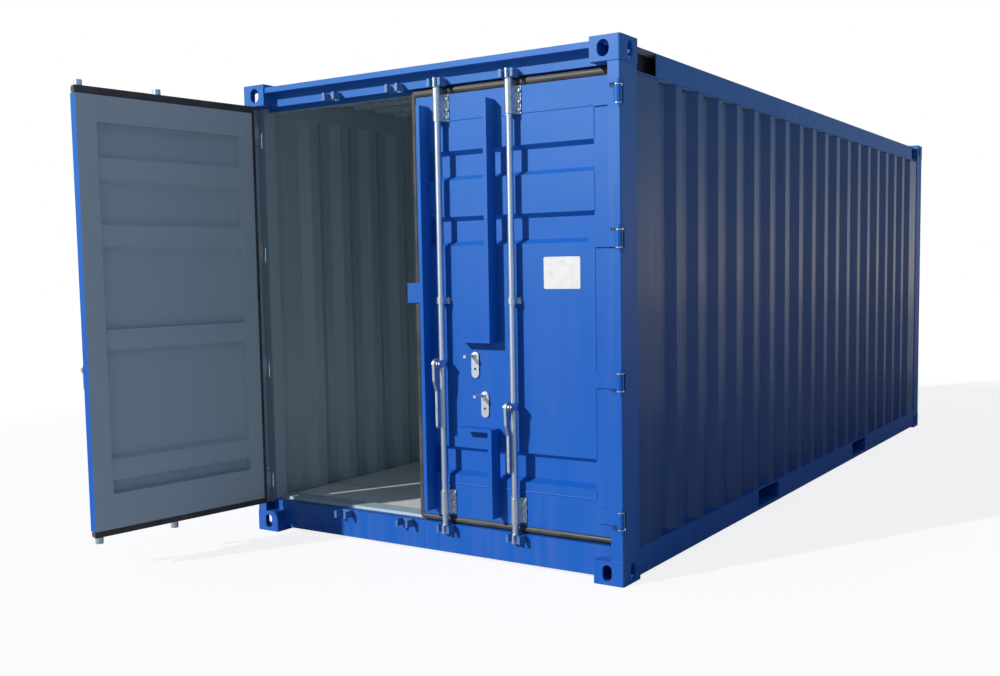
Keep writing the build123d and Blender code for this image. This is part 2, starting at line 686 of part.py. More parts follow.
def hinge_blades():
    """The blades that carry one leaf on its pins: a tapered strap, a leg to the pin and a knuckle."""
    solids = []
    edge = LEAF_HINGE_EDGE
    outer = PIN_X + BLADE_LEG / 2
    for centre in HINGE_CENTRES:
        low = centre - KNUCKLE_HEIGHT / 2
        high = centre + KNUCKLE_HEIGHT / 2
        strap_outline = [
            (outer, low), (outer, high),
            (edge - BLADE_REACH + BLADE_TAPER, high), (edge - BLADE_REACH, centre + BLADE_TIP / 2),
            (edge - BLADE_REACH, centre - BLADE_TIP / 2), (edge - BLADE_REACH + BLADE_TAPER, low),
        ]
        strap = outline_slab(strap_outline, Plane.XZ.offset(-FACE_Y), BLADE_THICKNESS)
        leg = block(PIN_X - BLADE_LEG / 2, outer, PIN_Y, FACE_Y - BLADE_THICKNESS / 2, low, high)
        blade = strap + leg + rod_z(PIN_X, PIN_Y, low, high, KNUCKLE_RADIUS)
        solids.append(blade - rod_z(PIN_X, PIN_Y, low - OVERRUN, high + OVERRUN, PIN_RADIUS + PIN_FIT))
    return Compound(children=solids)


def fin(x, low, high):
    """One upright fin with a lip folded over at its front."""
    web = block(x - FIN_THICKNESS, x, FIN_FRONT, FACE_Y, low, high)
    return web + block(x - FIN_LIP, x, FIN_FRONT, FIN_FRONT + FIN_THICKNESS, low, high)


def shelf(low, lip_side):
    """One cross shelf beside the outer fin, with a lip at its front."""
    right = FIN_X[1] - FIN_THICKNESS
    plate = block(SHELF_LEFT, right, FIN_FRONT, FACE_Y, low, low + FIN_THICKNESS)
    lip_low = low if lip_side > 0 else low + FIN_THICKNESS - SHELF_LIP
    return plate + block(SHELF_LEFT, right, FIN_FRONT, FIN_FRONT + FIN_THICKNESS, lip_low, lip_low + SHELF_LIP)


def snag_guards(with_inner_fin):
    """The fins and shelves that keep slings off the handles."""
    bottom = LEAF_BOTTOM + FIN_LOW_RISE
    top = LEAF_TOP - FIN_HIGH_DROP
    gap_low = leaf_z(FIN_GAP_SHARES[0])
    gap_high = leaf_z(FIN_GAP_SHARES[1])
    solids = [
        fin(FIN_X[1], bottom, gap_low) + shelf(gap_low - FIN_THICKNESS, -1),
        fin(FIN_X[1], gap_high, top) + shelf(gap_high, 1),
    ]
    if with_inner_fin:
        solids.append(fin(FIN_X[0], bottom, top))
    return Compound(children=solids)


def strap(x, low, high, reach, foot_high):
    """One bent strap round a rod, with a foot on the leaf at each side."""
    outer = ROD_RADIUS + STRAP_WALL
    arch = block(x - outer, x + outer, ROD_Y, FACE_Y, low, high) + rod_z(x, ROD_Y, low, high, outer)
    bore = ROD_RADIUS + PIN_FIT
    hollow = block(x - bore, x + bore, ROD_Y, FACE_Y - STRAP_WALL, low - OVERRUN, high + OVERRUN)
    hollow += rod_z(x, ROD_Y, low - OVERRUN, high + OVERRUN, bore)
    foot = block(x - reach, x + reach, FACE_Y - STRAP_WALL, FACE_Y, low, foot_high)
    return arch - hollow + foot


def rod_brackets():
    """The straps that hold both rods of one leaf."""
    top_high = LEAF_TOP + SLEEVE_TOP_RISE
    bottom_low = LEAF_BOTTOM + SLEEVE_BOTTOM_RISE
    bottom_high = bottom_low + SLEEVE_BOTTOM_HEIGHT
    guide_low = leaf_z(GUIDE_CENTRE_SHARE) - GUIDE_HEIGHT / 2
    guide_high = guide_low + GUIDE_HEIGHT
    solids = []
    for x in ROD_X:
        solids.append(strap(x, top_high - SLEEVE_TOP_HEIGHT, top_high, SLEEVE_REACH, LEAF_TOP))
        solids.append(strap(x, bottom_low, bottom_high, SLEEVE_REACH, bottom_high))
        solids.append(strap(x, guide_low, guide_high, GUIDE_REACH, guide_high))
    return Compound(children=solids)


def handle_catches():
    """The two catches that the raised handles rest under."""
    solids = []
    for x, pivot in zip(CATCH_X, HANDLE_PIVOTS):
        centre = pivot - CATCH_DROP
        plate_face = Rot(0, 0, 90) * SlotOverall(CATCH_HEIGHT, CATCH_WIDTH)
        for share in CATCH_HOLE_SHARES:
            plate_face -= Pos(0, share * CATCH_HEIGHT) * Circle(CATCH_HOLE_RADIUS)
        plate = Pos(x, 0, centre) * slab(plate_face, Plane.XZ.offset(-FACE_Y), CATCH_PLATE)
        arm_high = centre + CATCH_HEIGHT / 2 - CATCH_ARM_HEIGHT
        arm = block(
            x - CATCH_WIDTH / 2, x - CATCH_WIDTH / 2 + CATCH_ARM_WIDTH, FACE_Y - CATCH_ARM_REACH, FACE_Y,
            arm_high - CATCH_ARM_HEIGHT, arm_high)
        solids.append(plate + arm)
    return Compound(children=solids)


def lock_rod(index):
    """One rod turned out, with a cam at each end and the fork that carries its handle."""
    x = ROD_X[index]
    pivot = HANDLE_PIVOTS[index]
    rod = rod_z(x, ROD_Y, ROD_BOTTOM, ROD_TOP, ROD_RADIUS)
    tip_y = ROD_Y - CAM_LENGTH + CAM_TIP_RADIUS
    horn = link_face((x, ROD_Y), (x, tip_y), CAM_ROOT_RADIUS, CAM_TIP_RADIUS)
    for low in (ROD_BOTTOM, ROD_TOP - CAM_HEIGHT):
        rod += slab(horn, Plane.XY.offset(low), CAM_HEIGHT)
    cheek = link_face((ROD_Y, pivot), (PIVOT_Y, pivot), CLEVIS_RADIUS, CLEVIS_RADIUS)
    inner = HANDLE_THICKNESS / 2 + CLEVIS_PLAY
    rod += slab(cheek, Plane.YZ.offset(x + inner), CLEVIS_THICKNESS)
    rod += slab(cheek, Plane.YZ.offset(x - inner - CLEVIS_THICKNESS), CLEVIS_THICKNESS)
    reach = inner + CLEVIS_THICKNESS
    return rod + rod_x(x - reach, x + reach, PIVOT_Y, pivot, PIVOT_RADIUS)


def handle(index):
    """One flat handle hanging from its pivot, cranked below the hub."""
    x = ROD_X[index]
    pivot = HANDLE_PIVOTS[index]
    hub = (PIVOT_Y, pivot)
    neck = (PIVOT_Y - HANDLE_NECK_SHIFT, pivot - HANDLE_NECK_DROP)
    bend = (PIVOT_Y + HANDLE_BEND_SHIFT, pivot - HANDLE_BEND_DROP)
    end = (PIVOT_Y + HANDLE_BEND_SHIFT, pivot - HANDLE_LENGTH + HANDLE_GRIP_RADIUS)
    face = link_face(hub, neck, HANDLE_HUB_RADIUS, HANDLE_GRIP_RADIUS)
    face += link_face(neck, bend, HANDLE_GRIP_RADIUS, HANDLE_GRIP_RADIUS)
    face += link_face(bend, end, HANDLE_GRIP_RADIUS, HANDLE_GRIP_RADIUS)
    face -= Pos(*hub) * Circle(PIVOT_RADIUS + PIN_FIT)
    return slab(face, Plane.YZ.offset(x - HANDLE_THICKNESS / 2), HANDLE_THICKNESS)


def overlap_tab():
    """The plate on the right leaf's free edge that laps over the left leaf, on its packing pad."""
    low = leaf_z(TAB_CENTRE_SHARE) - TAB_HEIGHT / 2
    high = low + TAB_HEIGHT
    right = FIN_X[0] - FIN_THICKNESS
    plate_back = FACE_Y - RUNNING_GAP
    plate = block(-TAB_LEFT, right, plate_back - TAB_THICKNESS, plate_back, low, high)
    return plate + block(RIGHT_FREE_EDGE, right, plate_back, FACE_Y, low, high)


def open_left(piece):
    """A right hand leaf piece moved to the left leaf in its open rest position."""
    hinge = Pos(-PIN_X, PIN_Y, 0)
    return hinge * Rot(0, 0, -LEFT_DOOR_OPEN) * hinge.inverse() * mirror_x(piece)


nodes = {
    "bottom_corner_castings": four_corners(casting(False)),
    "top_corner_castings": Pos(0, 0, POST_HIGH) * four_corners(casting(True)),
    "right_front_post": front_post(),
    "left_front_post": mirror_x(front_post()),
    "rear_posts": both_sides(rear_post()),
    "door_header": door_header(),
    "door_sill": door_sill(),
    "rear_header": rear_beam(POST_HIGH, TOP_RAIL_HIGH, TOP_RAIL_WALL),
    "rear_sill": rear_beam(BOTTOM_RAIL_LOW, BOTTOM_RAIL_HIGH, BOTTOM_RAIL_WALL),
    "top_side_rails": both_sides(top_rail()),
    "bottom_side_rails": both_sides(bottom_rail()),
    "right_side_wall": side_wall(),
    "left_side_wall": mirror_x(side_wall()),
    "rear_wall": rear_wall(),
    "roof": roof(),
    "floor_deck": floor_deck(),
    "floor_beams": floor_beams(),
    "forklift_pockets": forklift_pockets(),
    "header_keepers": keepers(ROD_TOP - CAM_HEIGHT),
    "sill_keepers": keepers(ROD_BOTTOM),
    "right_hinge_lugs": hinge_lugs(),
    "left_hinge_lugs": mirror_x(hinge_lugs()),
    "right_leaf_frame": leaf_frame(RIGHT_SEAL_EDGE, RIGHT_FREE_EDGE),
    "left_leaf_frame": open_left(leaf_frame(LEFT_SEAL_EDGE, LEFT_FREE_EDGE)),
    "right_leaf_panel": leaf_panel(RIGHT_SEAL_EDGE),
    "left_leaf_panel": open_left(leaf_panel(LEFT_SEAL_EDGE)),
    "right_gasket": leaf_gasket(RIGHT_SEAL_EDGE, RIGHT_FREE_EDGE),
    "left_gasket": open_left(leaf_gasket(LEFT_SEAL_EDGE, LEFT_FREE_EDGE - OVERRUN)),
    "right_snag_guards": snag_guards(True),
    "left_snag_guards": open_left(snag_guards(False)),
    "right_overlap_tab": overlap_tab(),
}
shared_pieces = {
    "hinge_blades": hinge_blades(),
    "rod_brackets": rod_brackets(),
    "handle_catches": handle_catches(),
    "inner_rod": lock_rod(0),
    "outer_rod": lock_rod(1),
    "inner_handle": handle(0),
    "outer_handle": handle(1),
}
for name, piece in shared_pieces.items():
    nodes["right_" + name] = piece
    nodes["left_" + name] = open_left(piece)

os.makedirs("parts", exist_ok=True)
for name, piece in nodes.items():
    export_step(piece, "parts/" + name + ".step")
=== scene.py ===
"""Looks of a twenty foot steel freight container: finishes, small fittings, light and camera.

X runs across the width, -Y is the door end and Z is up. Fittings hold their lengths in millimetres, and
a mesh is turned to metres when it is made. Finishes and the studio work in metres. A leaf's fittings are
drawn on the closed right hand leaf and carried to their leaf.
"""

import logging
import math
from dataclasses import dataclass, field
from enum import Enum

import bmesh
import bpy
import numpy as np
from mathutils import Euler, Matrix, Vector


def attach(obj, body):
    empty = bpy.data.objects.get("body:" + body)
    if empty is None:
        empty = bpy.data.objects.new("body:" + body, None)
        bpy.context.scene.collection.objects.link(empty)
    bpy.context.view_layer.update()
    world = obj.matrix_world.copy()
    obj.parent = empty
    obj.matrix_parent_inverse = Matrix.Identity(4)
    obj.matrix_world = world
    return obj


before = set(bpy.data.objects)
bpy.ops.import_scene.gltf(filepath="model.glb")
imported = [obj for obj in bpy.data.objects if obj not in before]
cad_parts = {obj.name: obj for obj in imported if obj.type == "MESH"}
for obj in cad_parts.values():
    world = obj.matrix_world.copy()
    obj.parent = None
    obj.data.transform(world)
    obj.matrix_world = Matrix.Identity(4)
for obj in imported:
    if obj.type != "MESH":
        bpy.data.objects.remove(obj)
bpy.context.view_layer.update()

Material = bpy.types.Material
Node = bpy.types.Node
Socket = bpy.types.NodeSocket
Pair = tuple[float, float]
Pairs = tuple[Pair, ...]
Triple = tuple[float, float, float]
Colour = tuple[float, float, float, float]
Inputs = dict[str, float | Socket]

LOG = logging.getLogger("container")
MM = 0.001
FACE_Y = -2944.0  # front of the closed leaves
HINGE_EDGE = 1120.0  # hinge side of the leaf frames
SHEET_RIGHT = 1034.0  # hinge side of the leaf sheets
PIN_X = 1193.0  # hinge pin axis
PIN_Y = -3005.0
ROD_X = (139.0, 581.0)
PIVOT_Y = -3037.0  # handle pivots
PIVOT_Z = (1034.0, 830.0)
CATCH_X = (325.0, 383.0)
LEFT_OPEN = math.radians(97.5)  # the left leaf's opening at rest
FRONT = (0.0, -1.0, 0.0)
UP = (0.0, 0.0, 1.0)
ARC = 10  # points on a rounded corner
MERGE = 0.00002  # metres between points that are one
THIN = 0.00001  # metres below which an edge goes
SHARP = math.radians(38.0)  # edges bent more than this stay sharp


class Side(Enum):
    """The two door leaves."""

    RIGHT = "right"
    LEFT = "left"

    def part(self, name: str) -> str:
        """A node's, body's or piece's name on this leaf."""
        return f"{self.value}_{name}"

    def carry(self, points: np.ndarray) -> np.ndarray:
        """Moves points from the closed right hand leaf to this leaf at rest.

        The left leaf's points are mirrored in X, then turned about the left pin: the offset from the pin
        (dx, dy) becomes (dx cos a - dy sin a, dx sin a + dy cos a) with a minus the opening angle.

        Args:
            points: places in millimetres, with x, y and z on the last axis.

        Returns:
            The moved places, in an array of the same shape.
        """
        if self is Side.RIGHT:
            return points
        cos, sin = math.cos(-LEFT_OPEN), math.sin(-LEFT_OPEN)
        dx = -points[..., 0] + PIN_X
        dy = points[..., 1] - PIN_Y
        x, y = dx * cos - dy * sin - PIN_X, dx * sin + dy * cos + PIN_Y
        return np.stack([x, y, points[..., 2]], axis=-1)

    def inward(self) -> Triple:
        """The direction from this leaf's outside to its inside, at rest."""
        if self is Side.RIGHT:
            return (0.0, 1.0, 0.0)
        return (math.sin(LEFT_OPEN), math.cos(LEFT_OPEN), 0.0)


FREE_EDGE = {Side.RIGHT: -29.0, Side.LEFT: 73.0}  # free edges of the leaf frames
SEAM_SEAL = {Side.RIGHT: 33.0, Side.LEFT: 0.0}  # reach of the seal past the free edge
SHEET_LEFT = {Side.RIGHT: 43.0, Side.LEFT: 179.0}  # free sides of the leaf sheets


def linear(code: str) -> Colour:
    """Turns an sRGB hex colour into the linear colour that Blender's sockets take.

    Args:
        code: the colour as "#RRGGBB".

    Returns:
        Red, green, blue and alpha. By the sRGB curve a dark c is c / 12.92 and any other is
        ((c + 0.055) / 1.055) ^ 2.4.
    """
    values = [int(code[start:start + 2], 16) / 255 for start in (1, 3, 5)]
    curve = [v / 12.92 if v <= 0.04045 else ((v + 0.055) / 1.055) ** 2.4 for v in values]
    return (curve[0], curve[1], curve[2], 1.0)


@dataclass(frozen=True)
class Nodes:
    """Adds shader nodes to one tree."""

    tree: bpy.types.NodeTree

    def add(self, kind: str, inputs: dict | None = None, **settings: str) -> Node:
        """Adds one shader node with its settings, values and links.

        Args:
            kind: the node's Blender type name.
            inputs: values by socket name or number. A value that is itself a socket is linked.
            **settings: properties of the node, such as operation.

        Returns:
            The new node.
        """
        made = self.tree.nodes.new(kind)
        for name, value in settings.items():
            setattr(made, name, value)
        self.feed(made, inputs or {})
        return made

    def feed(self, target: Node, inputs: dict) -> None:
        """Sets or links a node's sockets.

        Args:
            target: the node.
            inputs: values by socket name or number. A value that is itself a socket is linked.
        """
        for key, value in inputs.items():
            if isinstance(value, Socket):
                self.tree.links.new(value, target.inputs[key])
            else:
                target.inputs[key].default_value = value

    def number(self, operation: str, *values: float | Socket) -> Socket:
        """Works one number out from others."""
        return self.add("ShaderNodeMath", dict(enumerate(values)), operation=operation).outputs[0]

    def vector(self, operation: str, *values: Triple | Socket) -> Socket:
        """Works one vector out from others, or one number for a dot product or a length."""
        made = self.add("ShaderNodeVectorMath", dict(enumerate(values)), operation=operation)
        return made.outputs["Value" if operation in ("DOT_PRODUCT", "LENGTH") else "Vector"]

    def coordinate(self, kind: str) -> Socket:
        """Adds a texture coordinate by its name."""
        return self.add("ShaderNodeTexCoord").outputs[kind]

    def noise(self, place: Socket, scale: float, detail: float) -> Socket:
        """Adds soft noise in patches 1 / scale across, most of it between 0.3 and 0.7."""
        inputs = {"Vector": place, "Scale": scale, "Detail": detail}
        return self.add("ShaderNodeTexNoise", inputs).outputs[0]

    def stretch(self, place: Socket, scale: Triple) -> Socket:
        """Multiplies a place axis by axis."""
        return self.add("ShaderNodeMapping", {"Vector": place, "Scale": scale}).outputs[0]

    def axes(self, place: Socket) -> bpy.types.NodeOutputs:
        """Takes a place apart into x, y and z."""
        return self.add("ShaderNodeSeparateXYZ", {0: place}).outputs

    def ramp(self, source: Socket, low: float, high: float, at_low: float, at_high: float) -> Socket:
        """Maps a value from low to high onto one from at_low to at_high, held at the ends."""
        inputs = {0: source, 1: low, 2: high, 3: at_low, 4: at_high}
        return self.add("ShaderNodeMapRange", inputs).outputs[0]

    def blend(self, factor: Socket, first: Colour | Socket, second: Colour | Socket) -> Socket:
        """Mixes two linear colours: a factor of 0 gives the first and 1 the second."""
        return self.add("ShaderNodeMix", {0: factor, 6: first, 7: second}, data_type="RGBA").outputs[2]

    def bump(self, height: Socket, strength: float, distance: float) -> Socket:
        """Bends the normal by a height, whose unit is distance metres."""
        inputs = {"Height": height, "Strength": strength, "Distance": distance}
        return self.add("ShaderNodeBump", inputs).outputs[0]

    def mix(self, factor: Socket, first: Node, second: Node) -> Socket:
        """Mixes two shaders: a factor of 0 gives the first and 1 the second."""
        inputs = {0: factor, 1: first.outputs[0], 2: second.outputs[0]}
        return self.add("ShaderNodeMixShader", inputs).outputs[0]


# Partings of two paint colours


@dataclass(frozen=True)
class PlaneSplit:
    """Parts the two paint colours by which way a face points.

    A point is inside where N . toward + (N P) . middle > limit, with N and P its normal and place and N P
    their products axis by axis, which are negative where a face looks back to the middle.
    """

    toward: Triple = (0.0, 0.0, 0.0)
    limit: float = 0.0
    middle: Triple = (0.0, 0.0, 0.0)

    def factor(self, nodes: Nodes) -> Socket:
        """Adds the parting's nodes.

        Args:
            nodes: the material's nodes.

        Returns:
            A socket that is 1 inside and 0 outside.
        """
        facing = nodes.vector("DOT_PRODUCT", nodes.coordinate("Normal"), self.toward)
        products = nodes.vector("MULTIPLY", nodes.coordinate("Normal"), nodes.coordinate("Object"))
        back = nodes.vector("DOT_PRODUCT", products, self.middle)
        return nodes.number("GREATER_THAN", nodes.number("ADD", facing, back), self.limit)


@dataclass(frozen=True)
class BoxSplit:
    """Parts the two paint colours by whether a face looks into a box, such as the load space.

    The place P + push N, a little off the face, is inside where it lies within the box, whose sides are
    turned about the Z axis.
    """

    middle: Triple
    half: Triple
    push: float = 0.008
    turn: float = 0.0  # radians

    def factor(self, nodes: Nodes) -> Socket:
        """Adds the parting's nodes.

        Args:
            nodes: the material's nodes.

        Returns:
            A socket that is 1 inside and 0 outside.
        """
        normal, place = nodes.coordinate("Normal"), nodes.coordinate("Object")
        pushed = nodes.vector("MULTIPLY_ADD", normal, (self.push,) * 3, place)
        turned = nodes.add("ShaderNodeVectorRotate", {0: pushed, 1: self.middle, 3: -self.turn},
                           rotation_type="Z_AXIS")
        offset = nodes.vector("SUBTRACT", turned.outputs[0], self.middle)
        past = nodes.axes(nodes.vector("SUBTRACT", nodes.vector("ABSOLUTE", offset), self.half))
        most = nodes.number("MAXIMUM", nodes.number("MAXIMUM", past[0], past[1]), past[2])
        return nodes.number("LESS_THAN", most, 0.0)


# Boxes round what each part of the frame shows of the load space, in metres
LOAD_SPACE = BoxSplit((0.0, 0.06225, 1.3535), (1.19, 2.95525, 1.2035))
POST_SPACE = BoxSplit((0.0, 0.00875, 1.3535), (1.2075, 3.00875, 1.2035))
RAIL_SPACE = BoxSplit((0.0, 0.0, 1.3535), (1.2095, 2.847, 1.2035))
SILL_SPACE = BoxSplit((0.0, 0.057, 1.35), (1.19, 2.963, 1.179))

CLEAR = 10.0  # weight that lets a way decide wherever a face looks clearly along or against it
WALLS = {
    "right": PlaneSplit((-CLEAR, 0.0, 0.0)),
    "left": PlaneSplit((CLEAR, 0.0, 0.0)),
    "rear": PlaneSplit((0.0, -CLEAR, 0.0)),
    "roof": PlaneSplit((0.0, 0.0, -CLEAR), middle=(-CLEAR, 0.0, 0.0)),
}


def sheet_split(side: Side, middle: float = 600.0) -> PlaneSplit:
    """The parting on a leaf's sheet: faces that look in are grey and those that look out are blue.

    Where an upright face looks neither in nor out, it is grey only if it looks away from the sheet's
    middle.

    Args:
        side: the leaf.
        middle: x of the sheet's middle on the closed right hand leaf, in millimetres.

    Returns:
        The parting.
    """
    centre = side.carry(np.array([middle, FACE_Y, 0.0])) * MM
    toward = tuple(np.array(side.inward()) * CLEAR - centre)
    return PlaneSplit(toward, limit=-0.05, middle=(1.0, 1.0, 0.0))


def frame_split(side: Side, behind: float = 40.0, level: float = 1318.0,
                half: Pair = (38.0, 1106.0)) -> BoxSplit:
    """The parting on a leaf's frame: the inside and the recess are grey, the outer edges are blue.

    Args:
        side: the leaf.
        behind: how far the box's middle lies behind the leaf's face, in millimetres.
        level: the middle's height.
        half: half the box's depth and height.

    Returns:
        A box from just behind the face to past the frame's inside, turned with the leaf.
    """
    free_edge = FREE_EDGE[side]
    middle = side.carry(np.array([(free_edge + HINGE_EDGE) / 2, FACE_Y + behind, level])) * MM
    sizes = ((HINGE_EDGE - free_edge) / 2 * MM, half[0] * MM, half[1] * MM)
    turn = 0.0 if side is Side.RIGHT else -LEFT_OPEN
    return BoxSplit(tuple(float(value) for value in middle), sizes, push=0.004, turn=turn)


# Finishes


@dataclass(frozen=True)
class Finish:
    """A finish, made as a material with one principled shader.

    A noise among its fields is a pair of scale and detail.
    """

    name: str

    def material(self) -> Material:
        """Makes the material.

        Returns:
            The new material.
        """
        made = bpy.data.materials.new(self.name)
        made.use_nodes = True
        nodes = Nodes(made.node_tree)
        nodes.tree.nodes.clear()
        nodes.add("ShaderNodeOutputMaterial", {"Surface": self.surface(nodes)})
        return made

    def surface(self, nodes: Nodes) -> Socket:
        """Adds the shader that the output takes."""
        return nodes.add("ShaderNodeBsdfPrincipled", self.inputs(nodes)).outputs[0]

    def inputs(self, nodes: Nodes) -> Inputs:
        """Works out the principled shader's inputs by socket name."""
        raise NotImplementedError


@dataclass(frozen=True)
class MarinePaint(Finish):
    """Two-part marine topcoat, sprayed on blasted and primed steel sheet.

    It gives a satin gloss with a faint orange peel, sheets that are not quite flat so that reflections
    waver, a colour that turns paler towards the top as a painted sheen, and a thin film of dust in
    vertical runs that thickens towards the ground.
    """

    split: PlaneSplit | BoxSplit | None = None
    outside: str = "#0A5CBB"
    outside_far: str = "#1263C4"
    # painted sheen: the paler blue that the outside turns to towards the top, standing in for the sun's
    # reflection
    painted_sheen: str = "#2A76CC"
    inside: str = "#B7CCD7"
    inside_far: str = "#BED2DB"
    dust: str = "#9FA3A4"
    gloss: float = 0.0  # 0 for the weathered doors, towards 1 for the walls
    patches: Pair = (1.1, 3.0)  # patches about 900 mm across
    runs: Triple = (14.0, 14.0, 0.8)  # runs about 70 mm wide and 1200 mm long
    run_detail: float = 5.0
    sheen_heights: Pair = (1.1, 2.6)  # heights where it starts and is full
    film: Pair = (0.42, 0.72)  # noise of the runs where the film starts and is full
    film_top: float = 0.45  # height where the film is thin
    film_share: Pair = (0.09, 0.02)  # the dust's share at the ground and above that height
    rough_runs: Pair = (0.35, 0.7)  # noise of the runs where the roughness starts and ends
    matt: float = 0.42  # roughness without gloss, in a clean run
    matt_loss: float = 0.24  # what full gloss takes from it
    rough_gain: float = 0.09  # what a dusty run adds
    index: float = 1.38  # index of refraction without gloss
    index_gain: float = 0.16
    sheet: Pair = (2.6, 1.0)  # unevenness of the sheet
    sheet_height: float = 0.006
    peel: Pair = (110.0, 2.0)  # orange peel, about 2 mm across on the real one, drawn at 9 to show
    peel_height: float = 0.00008

    def inputs(self, nodes: Nodes) -> Inputs:
        """Works out the shader's inputs.

        Args:
            nodes: the material's nodes.

        Returns:
            The inputs by socket name.
        """
        place = nodes.coordinate("Object")
        height = nodes.axes(place)[2]
        drift = nodes.noise(place, *self.patches)
        runs = nodes.noise(nodes.stretch(place, self.runs), 1.0, self.run_detail)
        colour = nodes.blend(drift, linear(self.outside), linear(self.outside_far))
        # painted sheen: the outside blue turns paler between two heights
        colour = nodes.blend(nodes.ramp(height, *self.sheen_heights, 0.0, 1.0), colour, linear(self.painted_sheen))
        if self.split:
            grey = nodes.blend(drift, linear(self.inside), linear(self.inside_far))
            colour = nodes.blend(self.split.factor(nodes), colour, grey)
        share = nodes.ramp(height, 0.0, self.film_top, *self.film_share)
        film = nodes.number("MULTIPLY", nodes.ramp(runs, *self.film, 0.0, 1.0), share)
        matt = self.matt - self.matt_loss * self.gloss
        fine = nodes.number("MULTIPLY", nodes.noise(place, *self.peel), self.peel_height)
        relief = nodes.number("MULTIPLY_ADD", nodes.noise(place, *self.sheet), self.sheet_height, fine)
        return {
            "Base Color": nodes.blend(film, colour, linear(self.dust)),
            "Roughness": nodes.ramp(runs, *self.rough_runs, matt, matt + self.rough_gain),
            "IOR": self.index + self.index_gain * self.gloss,
            "Normal": nodes.bump(relief, 1.0, 1.0),
        }


@dataclass(frozen=True)
class GalvanisedSteel(Finish):
    """Steel dipped in molten zinc.

    It gives a pale grey metal with spangles, crystals about 12 mm across that differ a little in
    brightness and gloss.
    """

    dark: str = "#C3CBD1"
    bright: str = "#E2E7EB"
    least_rough: float = 0.36
    most_rough: float = 0.46
    spangles: float = 80.0  # to the metre
    grain: Pair = (260.0, 3.0)
    relief: Pair = (0.25, 0.0004)  # strength, and height in metres

    def inputs(self, nodes: Nodes) -> Inputs:
        """Works out the shader's inputs.

        Args:
            nodes: the material's nodes.

        Returns:
            The inputs by socket name.
        """
        place = nodes.coordinate("Object")
        spangle = nodes.add("ShaderNodeTexVoronoi", {"Vector": place, "Scale": self.spangles})
        shade = nodes.add("ShaderNodeSeparateColor", {0: spangle.outputs["Color"]}).outputs[0]
        return {
            "Base Color": nodes.blend(shade, linear(self.dark), linear(self.bright)),
            "Roughness": nodes.ramp(shade, 0.0, 1.0, self.most_rough, self.least_rough),
            "Metallic": 1.0,
            "Normal": nodes.bump(nodes.noise(place, *self.grain), *self.relief),
        }


@dataclass(frozen=True)
class PaintedPlywood(Finish):
    """Keruing plywood boards under a rolled grey floor paint.

    It gives a matt pale grey with the grain just telling through, dark joints between the boards and
    scuffs along the way in.
    """

    paint: str = "#F6F7F7"
    worn: str = "#E4E1DA"
    joint: str = "#2E3134"
    board: float = 1.2  # width of a board in metres, and half its length
    joint_width: float = 0.006
    grain: Triple = (1.5, 34.0, 34.0)  # streaks along X, about 30 mm wide
    grain_detail: float = 6.0
    scuffs: Pair = (3.5, 8.0)
    spread: Triple = (0.5, 0.72, 0.5)  # noise where the scuffs start and are full, and their share there
    rough: Pair = (0.5, 0.7)
    relief: Pair = (0.5, 0.0008)  # strength, and height in metres

    def inputs(self, nodes: Nodes) -> Inputs:
        """Works out the shader's inputs.

        Args:
            nodes: the material's nodes.

        Returns:
            The inputs by socket name.
        """
        place = nodes.coordinate("Object")
        axes = nodes.axes(place)
        grain = nodes.noise(nodes.stretch(place, self.grain), 1.0, self.grain_detail)
        start, full, share = self.spread
        scuff = nodes.ramp(nodes.noise(place, *self.scuffs), start, full, 0.0, share)
        colour = nodes.blend(scuff, linear(self.paint), linear(self.worn))
        # PINGPONG gives the distance from the nearest joint
        across = nodes.number("PINGPONG", axes[1], self.board)
        lengthwise = nodes.number("PINGPONG", axes[0], self.board / 2)
        near = nodes.number("MINIMUM", across, lengthwise)
        line = nodes.number("LESS_THAN", near, self.joint_width / 2)
        return {
            "Base Color": nodes.blend(line, colour, linear(self.joint)),
            "Roughness": nodes.ramp(grain, 0.3, 0.7, *self.rough),
            "Normal": nodes.bump(grain, *self.relief),
        }


@dataclass(frozen=True)
class PatchyFinish(Finish):
    """A finish of one colour with patches of another, which also vary its roughness."""

    base: str
    patch: str
    patches: Pair
    spread: Triple  # noise where the patches start and are full, and their share there
    rough: Pair
    grain: Pair
    relief: Pair  # strength, and height in metres

    def inputs(self, nodes: Nodes) -> Inputs:
        """Works out the shader's inputs.

        Args:
            nodes: the material's nodes.

        Returns:
            The inputs by socket name.
        """
        place = nodes.coordinate("Object")
        patches = nodes.noise(place, *self.patches)
        start, full, share = self.spread
        factor = nodes.ramp(patches, start, full, 0.0, share)
        return {
            "Base Color": nodes.blend(factor, linear(self.base), linear(self.patch)),
            "Roughness": nodes.ramp(patches, 0.3, 0.7, *self.rough),
            "Normal": nodes.bump(nodes.noise(place, *self.grain), *self.relief),
        }


@dataclass(frozen=True)
class ExtrudedRubber(PatchyFinish):
    """EPDM rubber, extruded and vulcanised.

    It gives a matt brownish grey with a greyer bloom in patches and a very fine grain.
    """

    base: str = "#3B3937"
    patch: str = "#615D58"
    patches: Pair = (7.0, 6.0)
    spread: Triple = (0.35, 0.68, 0.8)
    rough: Pair = (0.42, 0.62)
    grain: Pair = (420.0, 2.0)
    relief: Pair = (0.35, 0.0003)


@dataclass(frozen=True)
class UnderbodyWax(PatchyFinish):
    """Bitumen wax brushed on the steel under the floor.

    It gives a nearly black, soft sheen with brush marks and road dust in the hollows.
    """

    base: str = "#1E2023"
    patch: str = "#4C4A46"
    patches: Pair = (12.0, 7.0)
    spread: Triple = (0.45, 0.75, 0.6)
    rough: Pair = (0.4, 0.75)
    grain: Pair = (12.0, 7.0)
    relief: Pair = (0.6, 0.002)


